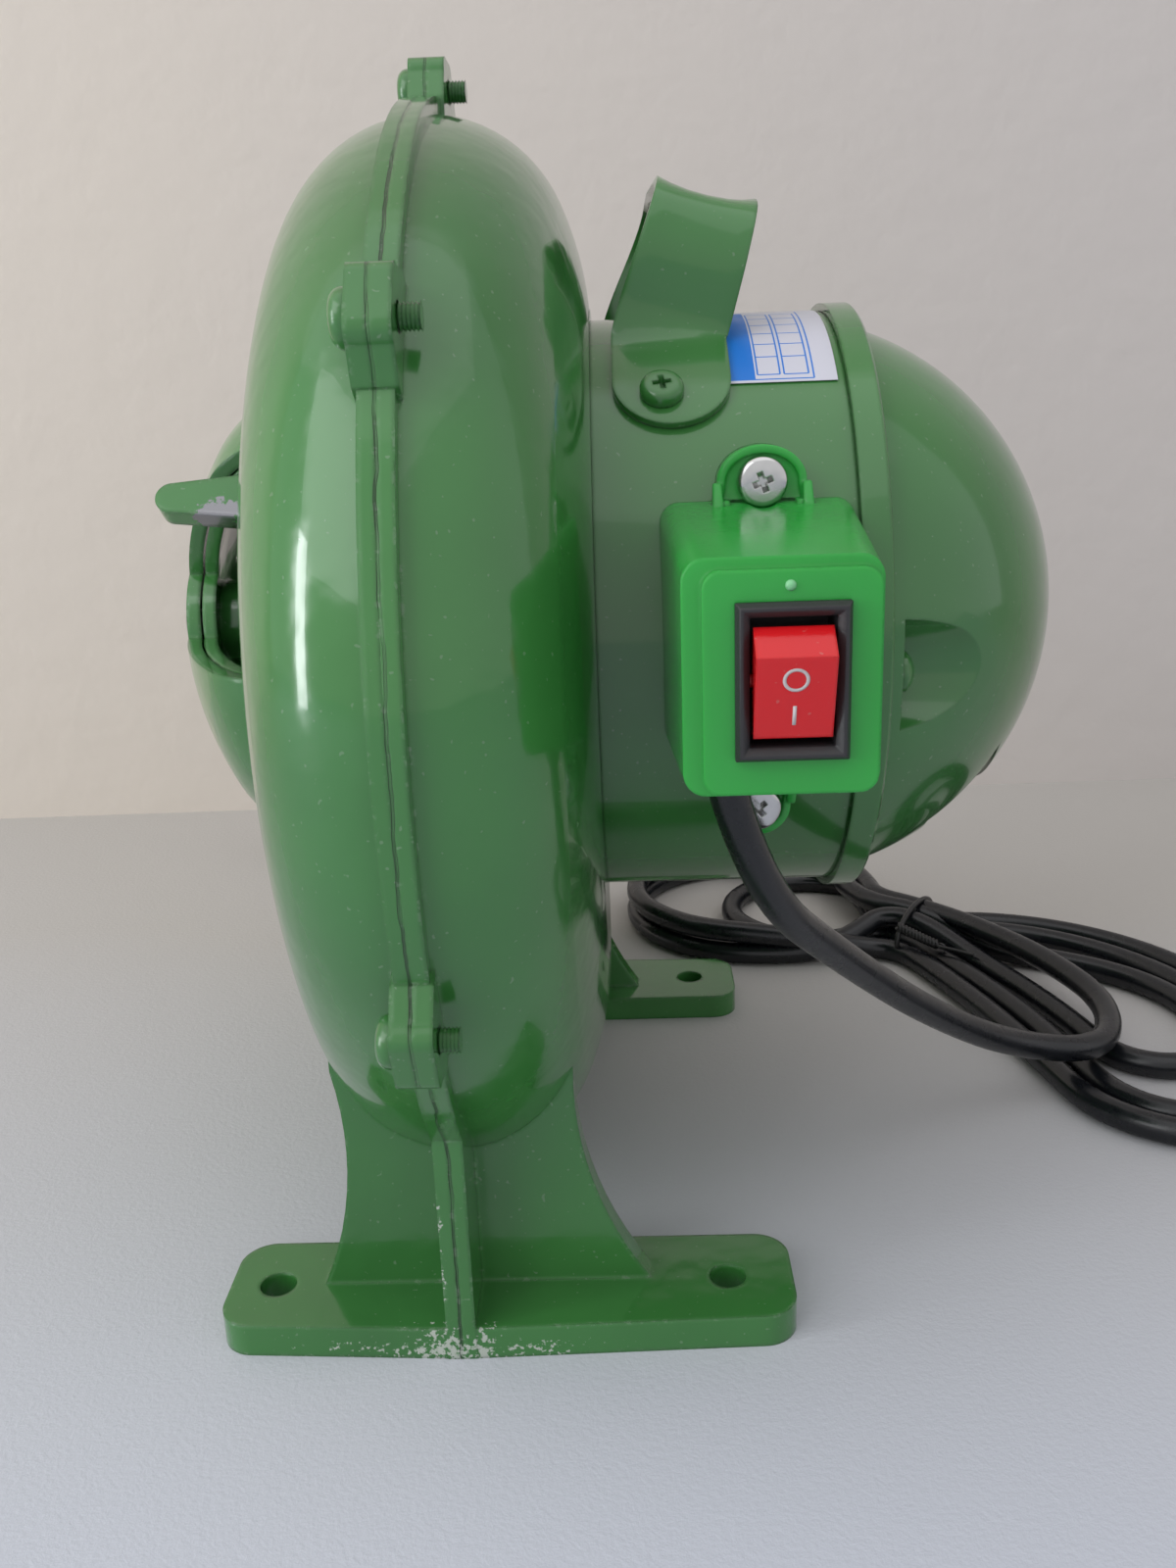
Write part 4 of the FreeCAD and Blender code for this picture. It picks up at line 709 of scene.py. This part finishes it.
def bow(start, corner, end, steps=10):
    # a curve from start to end that leans towards corner, without its first point
    points = []
    for step in range(1, steps + 1):
        share = step / steps
        a, b, c = (1 - share) ** 2, 2 * share * (1 - share), share ** 2
        points.append(tuple(a * start[i] + b * corner[i] + c * end[i] for i in (0, 1)))
    return points


def strapHalfLine(setup):
    # (y, z) from the end of a tab to the middle of the top, on the strap's middle surface
    reach = setup["barrel"] + setup["thick"] / 2
    top = setup["foot"] + setup["rise"] - setup["thick"] / 2
    first = setup["tabAngle"] - math.degrees(setup["width"] / 2 / reach)
    points = []
    for step in range(13):
        angle = math.radians(first + (setup["leaves"] - first) * step / 12)
        points.append((reach * math.cos(angle), reach * math.sin(angle)))
    points += bow(points[-1], *setup["bend"])
    side, above, end = setup["shoulder"]
    points += [setup["leg"]] + bow(setup["leg"], (side, top + above), (end, top))
    return points + [(0, top)]


def buildStrap(setup):
    # the carrying strap: a flat strip with round ends, cut into rows and laid on its line
    line = strapHalfLine(setup)
    lengths = [0.0]
    for (y0, z0), (y1, z1) in zip(line, line[1:]):
        lengths.append(lengths[-1] + math.hypot(y1 - y0, z1 - z0))
    full = lengths[-1]

    def onLine(reach):
        for index in range(1, len(lengths)):
            if reach <= lengths[index] or index == len(lengths) - 1:
                share = (reach - lengths[index - 1]) / (lengths[index] - lengths[index - 1])
                (y0, z0), (y1, z1) = line[index - 1], line[index]
                return y0 + (y1 - y0) * share, z0 + (z1 - z0) * share

    bpy.ops.mesh.primitive_plane_add(size=1)
    strap = bpy.context.object
    strap.scale = (2 * full, setup["width"], 1)
    bpy.ops.object.transform_apply(scale=True)
    openMesh()
    bpy.ops.mesh.bevel(offset=setup["width"] / 2 - 0.05, segments=10, affect="VERTICES")
    steps = setup["steps"]
    cuts = [((-full + 2 * full * i / steps, 0, 0), (1, 0, 0)) for i in range(1, steps)]
    cuts += [((0, setup["width"] * share, 0), (0, 1, 0)) for share in setup["rows"]]
    for place, way in cuts:
        bpy.ops.mesh.select_all(action="SELECT")
        bpy.ops.mesh.bisect(plane_co=place, plane_no=way)
    closeMesh()
    lean, foot = math.radians(setup["lean"]), setup["foot"]
    depth, middle, fade = setup["hollow"]
    for vertex in strap.data.vertices:
        along, across = vertex.co.x, vertex.co.y
        y, z = onLine(full - abs(along))
        hand = -1 if along < 0 else 1
        height = z - foot
        topness = 1 - smoothStep(abs(y), *setup["flat"])
        grown = smoothStep(height, *setup["grows"])
        angle = lean * smoothStep(height, *setup["leans"])
        wide = across * (1 - setup["narrow"] * grown)
        push = -setup["spread"] * (1 - grown)
        if hand < 0:
            push = setup["twist"] * grown * min(1, abs(y) / setup["twistOver"])
        x = (setup["middle"] + wide * math.cos(angle) + max(0, height) * math.sin(angle)
             + push)
        saddle = 1 - (2 * across / setup["width"]) ** 2
        z = (foot + height * (math.cos(angle) if height > 0 else 1)
             - wide * math.sin(angle) - setup["dip"] * saddle * topness)
        y -= depth * saddle * (1 - smoothStep(abs(height - middle), *fade))
        vertex.co = (x * mm, hand * y * mm, (axisZ + z) * mm)
    choose(strap)
    openMesh()
    bpy.ops.mesh.normals_make_consistent(inside=False)
    closeMesh()
    thicken(strap, setup["thick"] * mm, 0)
    roundOff(strap, setup["edge"] * mm, 2)
    settle(strap, "carryStrap", materials["sheet"], "casing", 50)
    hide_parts("handle_strap")
    print("carrying strap ready")


buildStrap(strapSetup)


screwSetup = {
    "strapScrews": {"radius": 3.65, "high": 2.2, "round": 1.4, "cross": 4.6, "deep": 1.5,
                    "bar": 1.1, "turn": 8, "angle": 48, "reach": 55.6, "along": (32.2, 30.0)},
    "boxScrews": {"radius": 3.93, "high": 2.3, "round": 1.0, "cross": 4.8, "deep": 1.5, "bar": 1.2,
                  "places": ((47, -50.42, 142.6), (46, -53.02, 90.6)), "turns": (20, 38)},
}
crossTaper = (0.35, 0.6)  # size of the cross at its bottom, as shares of its length and width


def buildHead(setup, turn=0):
    # a pan head that looks along +Z, and the cross cut into it where its setup has one
    radius, high = setup["radius"] * mm, setup["high"] * mm
    bpy.ops.mesh.primitive_cylinder_add(vertices=48, radius=radius, depth=high,
                                        location=(0, 0, high / 2))
    head = bpy.context.object
    bpy.ops.object.transform_apply(location=True)
    pickFaces(head, (0, 0, 1))
    bpy.ops.mesh.bevel(offset=setup["round"] * mm, segments=6, affect="EDGES")
    closeMesh()
    if "cross" not in setup:
        return head
    for quarter in (0, 90):
        bpy.ops.mesh.primitive_cube_add(size=1, location=(0, 0, high))
        cutter = bpy.context.object
        scaleUp(setup["cross"], setup["bar"], 2 * setup["deep"])
        bpy.ops.object.transform_apply(scale=True)
        pickFaces(cutter, (0, 0, -1))
        bpy.ops.transform.resize(value=(*crossTaper, 1))
        closeMesh()
        cutter.rotation_euler.z = math.radians(quarter + turn)
        applyModifier(head, "BOOLEAN", object=cutter, operation="DIFFERENCE", solver="EXACT")
        bpy.data.objects.remove(cutter)
    return head


def buildScrews(setup):
    # the painted screws of the strap and the plated ones of the switch box
    strap, box = setup["strapScrews"], setup["boxScrews"]
    angle = math.radians(strap["angle"])
    for hand, name, along in zip((-1, 1), ("strapScrewNear", "strapScrewFar"), strap["along"]):
        way = (0, hand * math.cos(angle), math.sin(angle))
        place = (along, way[1] * strap["reach"], axisZ + way[2] * strap["reach"])
        head = buildHead(strap, strap["turn"])
        aim(head, place, way)
        settle(head, name, materials["sheet"], "casing", 40)
    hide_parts("handle_screws")
    for place, turn, name in zip(box["places"], box["turns"], ("boxScrewUpper", "boxScrewLower")):
        head = buildHead(box, turn)
        aim(head, place, (0, -1, 0))
        settle(head, name, materials["chrome"], "casing", 40)
    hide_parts("switch_box_screws")
    print("screws ready")


buildScrews(screwSetup)


boltSetup = {
    "head": {"radius": 4.0, "high": 2.5, "round": 1.8},
    "headFace": -9.14,
    "apart": 9,  # no two bolts are nearer than this
    "threadFrom": -2.9,
    "radius": 2.0,
    "root": 0.8,
    "crest": 1.2,
    "pitch": 0.55,
    "turns": 5,
}


def boltPlaces(setup):
    # (y, z) of each bolt, from the CAD node's own points
    found = []
    for vertex in nodes["casing_bolts"].data.vertices:
        spot = Vector((vertex.co.y, vertex.co.z)) / mm
        for group in found:
            if (group[0] - spot).length < setup["apart"]:
                group.append(spot)
                break
        else:
            found.append([spot])
    places = []
    for group in found:
        low = [min(s[i] for s in group) for i in (0, 1)]
        high = [max(s[i] for s in group) for i in (0, 1)]
        places.append(((low[0] + high[0]) / 2, (low[1] + high[1]) / 2))
    return places


def buildBolt(setup, place, count):
    # a bolt through one of the casing's lugs: its head, and its thread behind the lug
    head = buildHead(setup["head"])
    aim(head, (setup["headFace"], *place), (-1, 0, 0))
    bpy.ops.mesh.primitive_circle_add(vertices=24, radius=setup["radius"] * mm * setup["root"],
                                      fill_type="NGON")
    rod = bpy.context.object
    openMesh()
    for step in range(setup["turns"] * 2 + 1):
        extrude(0, 0, setup["pitch"] / 2)
        size = setup["crest"] if step % 2 == 0 else 1 / setup["crest"]
        bpy.ops.transform.resize(value=(size, size, 1))
    closeMesh()
    aim(rod, (setup["threadFrom"], *place), (1, 0, 0))
    choose(head, rod)
    bpy.ops.object.join()
    return settle(head, f"casingBolt{count}", materials["sheet"], "casing", 40)


bolts = [buildBolt(boltSetup, place, i + 1)
         for i, place in enumerate(boltPlaces(boltSetup))]
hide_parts("casing_bolts")
print(len(bolts), "casing bolts ready")


housingSetup = {
    "cuts": (94.65, 139.95),  # the CAD box's ears go, below and above these heights
    "upper": {"place": (47, -50.4, 142.6), "radius": 7.0, "squash": 0.80, "foot": 5.2, "turn": 0},
    "lower": {"place": (46, -53.0, 90.6), "radius": 5.5, "squash": 0.92, "foot": 5.6,
              "turn": 180},
    "flare": 1.13,
    "rim": 1.3,
    "raised": 0.9,
    "plate": 3,
    "gusset": (1.7, 4.2, 4.0),
    "gussetSunk": 0.2,
    "gussetUp": 1.2,
    "gussetTaper": (0.8, 0.35),
    "gussetBack": 0.3,  # how far its top moves back, as a share of its depth
    "edge": 0.3,
}


def buildEar(setup, ear):
    # a low arch round the screw: a plate, a raised rim on it and a gusset at each foot
    radius, foot = ear["radius"], ear["foot"]
    bpy.ops.mesh.primitive_circle_add(vertices=64, radius=radius * mm, fill_type="NGON",
                                      rotation=(math.radians(90), 0, 0))
    plate = bpy.context.object
    bpy.ops.object.transform_apply(rotation=True)
    openMesh()
    bpy.ops.mesh.bisect(plane_co=(0, 0, 0), plane_no=(0, 0, 1), clear_inner=True)
    bpy.ops.mesh.select_all(action="SELECT")
    bpy.ops.transform.resize(value=(1, 1, ear["squash"]), center_override=(0, 0, 0))
    bpy.ops.mesh.select_mode(type="EDGE")
    bpy.ops.mesh.select_all(action="DESELECT")
    closeMesh()
    low = min(vertex.co.z for vertex in plate.data.vertices)
    for edge in plate.data.edges:
        edge.select = all(plate.data.vertices[v].co.z < low + 1e-6 for v in edge.vertices)
    bpy.ops.object.mode_set(mode="EDIT")
    extrude(0, 0, -foot)
    bpy.ops.transform.resize(value=(setup["flare"], 1, 1))
    bpy.ops.mesh.select_mode(type="FACE")
    bpy.ops.mesh.select_all(action="SELECT")
    bpy.ops.mesh.dissolve_limited(angle_limit=math.radians(1))
    extrude(0, setup["plate"], 0)
    bpy.ops.mesh.select_all(action="SELECT")
    bpy.ops.mesh.normals_make_consistent(inside=False)
    pickFaces(plate, (0, -1, 0))
    bpy.ops.mesh.inset(thickness=setup["rim"] * mm, depth=0)
    bpy.ops.mesh.select_all(action="INVERT")
    closeMesh()
    for face in plate.data.polygons:
        face.select = face.select and face.normal.y < -0.9
    bpy.ops.object.mode_set(mode="EDIT")
    extrude(0, -setup["raised"], 0)
    closeMesh()
    pieces = [plate]
    wide, deep, tall = setup["gusset"]
    for hand in (-1, 1):
        bpy.ops.mesh.primitive_cube_add(size=1)
        gusset = bpy.context.object
        scaleUp(wide, deep, tall)
        gusset.location = (hand * radius * mm, -(deep / 2 - setup["gussetSunk"]) * mm,
                           (tall / 2 - foot + setup["gussetUp"]) * mm)
        bpy.ops.object.transform_apply(location=True, scale=True)
        pickFaces(gusset, (0, 0, 1))
        bpy.ops.transform.resize(value=(*setup["gussetTaper"], 1))
        bpy.ops.transform.translate(value=(0, setup["gussetBack"] * deep * mm, 0))
        closeMesh()
        pieces.append(gusset)
    for piece in pieces:
        roundOff(piece, setup["edge"] * mm, 3)
        piece.matrix_world = (Matrix.Translation(Vector(ear["place"]) * mm)
                              @ Matrix.Rotation(math.radians(ear["turn"]), 4, "Y"))
    return pieces


def buildHousing(setup):
    # the switch box: a copy of the CAD one with new ears for its screws
    source = nodes["switch_box"]
    housing = source.copy()
    housing.data = source.data.copy()
    bpy.context.scene.collection.objects.link(housing)
    choose(housing)
    bpy.ops.mesh.customdata_custom_splitnormals_clear()
    openMesh()
    bpy.ops.mesh.remove_doubles(threshold=1e-6)
    for height, way in zip(setup["cuts"], (-1, 1)):
        bpy.ops.mesh.select_all(action="SELECT")
        bpy.ops.mesh.bisect(plane_co=(0, 0, height * mm), plane_no=(0, 0, way),
                            clear_outer=True, use_fill=True)
    closeMesh()
    choose(housing, *buildEar(setup, setup["upper"]), *buildEar(setup, setup["lower"]))
    bpy.ops.object.join()
    settle(housing, "switchHousing", materials["box"], "casing", 30)
    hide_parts("switch_box")
    print("switch housing ready")


buildHousing(housingSetup)


switchSetup = {
    "middle": (46.5, -93.52, 120.4),
    "size": (15, 21),
    "border": (0.55, 1.0),  # width of the sloped border and how far it stands up
    "lip": 0.45,
    "well": (0.9, -1.0),
    "hole": 8,
    "shoulder": 1.05,
    "body": 11.5,
    "edge": 0.16,
    "pivot": (46.5, -92.5, 120.4),
    "faceTop": (-5.96, 4.08),  # y, z of the long face's ends, from the pivot
    "faceEnd": (-2.19, -7.35),
    "proud": 0.03,
    "ring": {"at": 0.27, "radius": 1.5, "stroke": 0.24, "flat": 0.25},
    "bar": {"at": 0.71, "long": 2.9, "stroke": 0.5, "thick": 0.12, "edge": 0.05},
    "pip": ((46.2, -93.4, 132.9), 0.75),
}


def buildBezel(setup):
    # the switch's frame round the rocker, and its body inside the box
    x, y, z = setup["middle"]
    wide, high = setup["size"]
    bpy.ops.mesh.primitive_cube_add(size=1, location=(x * mm, (y - 0.5) * mm, z * mm))
    bezel = bpy.context.object
    scaleUp(wide, 1, high)
    bpy.ops.object.transform_apply(location=True, scale=True)
    pickFaces(bezel, (0, -1, 0))
    for width, rise in (setup["border"], (setup["lip"], 0), setup["well"]):
        bpy.ops.mesh.inset(thickness=width * mm, depth=rise * mm)
    extrude(0, setup["hole"], 0)
    pickFaces(bezel, (0, 1, 0), test=lambda centre: centre.y > (y - 0.2) * mm)
    bpy.ops.mesh.inset(thickness=setup["shoulder"] * mm, depth=0)
    extrude(0, setup["body"], 0)
    closeMesh()
    roundOff(bezel, setup["edge"] * mm, 2)
    settle(bezel, "switchBezel", materials["bezel"], "casing", 15)
    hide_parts("switch_frame")


def buildMarks(setup):
    # a ring and a bar printed on the rocker's long face
    px, py, pz = setup["pivot"]
    top, end = Vector(setup["faceTop"]), Vector(setup["faceEnd"])
    down = (end - top).normalized()
    out = Vector((-abs(down[1]), -abs(down[0])))

    def onFace(share):
        spot = top + (end - top) * share + out * setup["proud"]
        return (px, py + spot[0], pz + spot[1])

    ring, bar = setup["ring"], setup["bar"]
    bpy.ops.mesh.primitive_torus_add(major_radius=ring["radius"] * mm, major_segments=48,
                                     minor_radius=ring["stroke"] * mm, minor_segments=8)
    circle = bpy.context.object
    circle.scale = (1, 1, ring["flat"])
    bpy.ops.object.transform_apply(scale=True)
    aim(circle, onFace(ring["at"]), (0, out[0], out[1]))
    settle(circle, "markOff", materials["mark"], "rocker", 40)
    bpy.ops.mesh.primitive_cube_add(size=1)
    stroke = bpy.context.object
    scaleUp(bar["stroke"], bar["long"], bar["thick"])
    bpy.ops.object.transform_apply(scale=True)
    roundOff(stroke, bar["edge"] * mm, 2)
    stroke.matrix_world = (Matrix.Translation(Vector(onFace(bar["at"])) * mm)
                           @ Matrix.Rotation(math.atan2(-out[1], -out[0]) + math.pi / 2, 4, "X"))
    settle(stroke, "markOn", materials["mark"], "rocker", 40)


def buildPip(setup):
    # the small dot above the switch; its pale colour is a painted highlight
    place, radius = setup["pip"]
    bpy.ops.mesh.primitive_uv_sphere_add(segments=20, ring_count=12, radius=radius * mm,
                                         location=Vector(place) * mm)
    pip = bpy.context.object
    pip.scale = (1, 0.8, 1)
    settle(pip, "boxPip", materials["pip"], "casing", 60)


buildBezel(switchSetup)
buildMarks(switchSetup)
buildPip(switchSetup)
print("switch ready")


stickerSetup = {
    "radius": 54.22,
    "along": (41.9, 61.2),
    "angles": (50.5, 112),  # from level at the near side, over the top
    "thick": 0.08,
    "blue": (0.0, 0.165, 0.62, 1),
    "paper": (0.60, 0.60, 0.68, 1),
    "block": (43.3, 47.8),
    "columns": (48.2, 51.9, 52.6, 56.6),
    "rows": (2.4, 7.4, 11.6, 15.8, 20.0, 24.2, 28.4),
    "frame": (57.4, 1.2, 31),  # its end along the motor, and its start and end round it
    "line": 0.14,
}


def stickerFinish(setup):
    # pale paper with a blue block and an empty ruled grid
    material, tree, shader, place = newMaterial("stickerPaper")
    x, y, z = splitAxes(tree, place)
    angle = mathNode(tree, "ARCTAN2", mathNode(tree, "SUBTRACT", z, axisZ * mm),
                     mathNode(tree, "MULTIPLY", y, -1.0))
    turned = mathNode(tree, "SUBTRACT", angle, math.radians(setup["angles"][0]))
    arc = mathNode(tree, "MULTIPLY", turned, setup["radius"])
    along = mathNode(tree, "MULTIPLY", x, 1000.0)

    def between(value, low, high):
        return mathNode(tree, "MULTIPLY", mathNode(tree, "GREATER_THAN", value, low),
                        mathNode(tree, "LESS_THAN", value, high))

    line, columns, rows = setup["line"], setup["columns"], setup["rows"]
    far, low, high = setup["frame"]
    boxes = [(*setup["block"], low, high), (far - line, far + line, low, high),
             (setup["block"][0], far, low - line, low + line)]
    boxes += [(c - line, c + line, rows[0], rows[-1]) for c in columns]
    boxes += [(*pair, row - line, row + line) for row in rows
              for pair in (columns[:2], columns[2:])]
    ink = chain(tree, "MAXIMUM", *(mathNode(tree, "MULTIPLY", between(along, a, b),
                                            between(arc, c, d)) for a, b, c, d in boxes))
    wire(tree, mixColour(tree, ink, setup["paper"], setup["blue"]), shader.inputs["Base Color"])
    cloud = noise(tree, place, 200.0, 2.0)
    wire(tree, mapRange(tree, cloud, 0.3, 0.7, 0.30, 0.40), shader.inputs["Roughness"])
    bump(tree, shader, cloud, 0.00003)
    return material


def buildSticker(setup):
    # a printed sheet bent round the barrel, with no words on it
    low, high = setup["along"]
    bpy.ops.mesh.primitive_cylinder_add(
        vertices=240, radius=setup["radius"] * mm, depth=(high - low) * mm,
        end_fill_type="NOTHING", rotation=(0, math.radians(90), 0),
        location=((low + high) / 2 * mm, 0, axisZ * mm))
    sheet = bpy.context.object
    bpy.ops.object.transform_apply(location=True, rotation=True)
    first, last = setup["angles"]

    def outside(spot):
        turn = math.degrees(math.atan2(spot.z - axisZ * mm, -spot.y))
        return not first <= turn <= last

    pickFaces(sheet, (0, 0, 0), -1, outside)
    bpy.ops.mesh.delete(type="FACE")
    closeMesh()
    thicken(sheet, setup["thick"] * mm, 1)
    settle(sheet, "barrelSticker", stickerFinish(setup), "casing", 30)
    print("sticker ready")


buildSticker(stickerSetup)


stageSetup = {
    "size": 4,
    "wallPlace": 240,
    "wallTurn": 1.0,
    # painted light: the floor's colour turns lighter and bluer towards the front, as where the
    # window light falls
    "floor": {"first": (0.45, 0.43, 0.405, 1), "second": (0.53, 0.555, 0.63, 1), "axis": 1,
              "span": (0.12, -0.16), "grain": 900.0, "depth": 0.00014},
    # painted light: the wall's colour is lighter on the left, the side the light comes from, and
    # darker to the right
    "wall": {"first": (0.59, 0.535, 0.475, 1), "second": (0.53, 0.495, 0.475, 1), "axis": 0,
             "span": (-0.16, 0.24), "grain": 60.0, "depth": 0.0006},
}

lightSetup = {
    "windowLight": {"place": (-1.16, -0.50, 0.31), "target": (-0.03, -0.06, 0.31),
                    "size": (0.17, 0.62), "power": 4.5, "tint": (0.95, 0.98, 1)},
    "sideLight": {"place": (-1.3, -1.1, 1.3), "target": (0, 0, 0.1),
                  "size": (1.5, 1.3), "power": 13, "tint": (0.97, 0.985, 1)},
    "topLight": {"place": (-0.1, -0.1, 1.4), "target": (0, 0, 0),
                 "size": (2.2, 1.6), "power": 5, "tint": (1, 1, 1)},
}
roomColour = (0.80, 0.80, 0.82, 1)


def stageMaterial(name, first, second, axis, span, grain, depth):
    # its colour runs from first to second along one axis, as painted light: the floor lighter and
    # bluer towards the front where the window light falls, the wall lighter on its left
    material, tree, shader, place = newMaterial(name)
    cloud = mapRange(tree, noise(tree, place, 3.0, 3.0), 0.3, 0.7, -0.1, 0.1)
    run = mapRange(tree, splitAxes(tree, place)[axis], *span)
    share = mathNode(tree, "ADD", run, cloud, clamp=True)
    wire(tree, mixColour(tree, share, first, second), shader.inputs["Base Color"])
    shader.inputs["Roughness"].default_value = 0.75
    bumpGrain(tree, shader, place, grain, depth)
    return material


def buildStage(setup):
    bpy.ops.mesh.primitive_plane_add(size=setup["size"], location=(0, 0, 0))
    floor = settle(bpy.context.object, "floor", smooth=0)
    floor.data.materials.append(stageMaterial("floorWithPaintedLight", **setup["floor"]))
    bpy.ops.mesh.primitive_plane_add(
        size=setup["size"], location=(0, setup["wallPlace"] * mm, 0),
        rotation=(math.radians(90), 0, math.radians(setup["wallTurn"])))
    wall = settle(bpy.context.object, "wall", smooth=0)
    wall.data.materials.append(stageMaterial("wallWithPaintedLight", **setup["wall"]))


def addLamp(name, place, target, size, power, tint):
    bpy.ops.object.light_add(type="AREA", location=place)
    lamp = bpy.context.object
    lamp.name = name
    lamp.data.shape = "RECTANGLE"
    lamp.data.size, lamp.data.size_y = size
    lamp.data.energy = power
    lamp.data.color = tint
    lamp.rotation_euler = (Vector(target) - Vector(place)).to_track_quat("-Z", "Y").to_euler()


def buildLight(setup):
    for name, values in setup.items():
        addLamp(name, **values)
    world = bpy.data.worlds.new("room")
    bpy.context.scene.world = world
    world.use_nodes = True
    back = world.node_tree.nodes["Background"]
    back.inputs["Color"].default_value = roomColour
    back.inputs["Strength"].default_value = 1.0
    bpy.context.scene.view_settings.view_transform = "Standard"
    print("light ready")


buildStage(stageSetup)
buildLight(lightSetup)
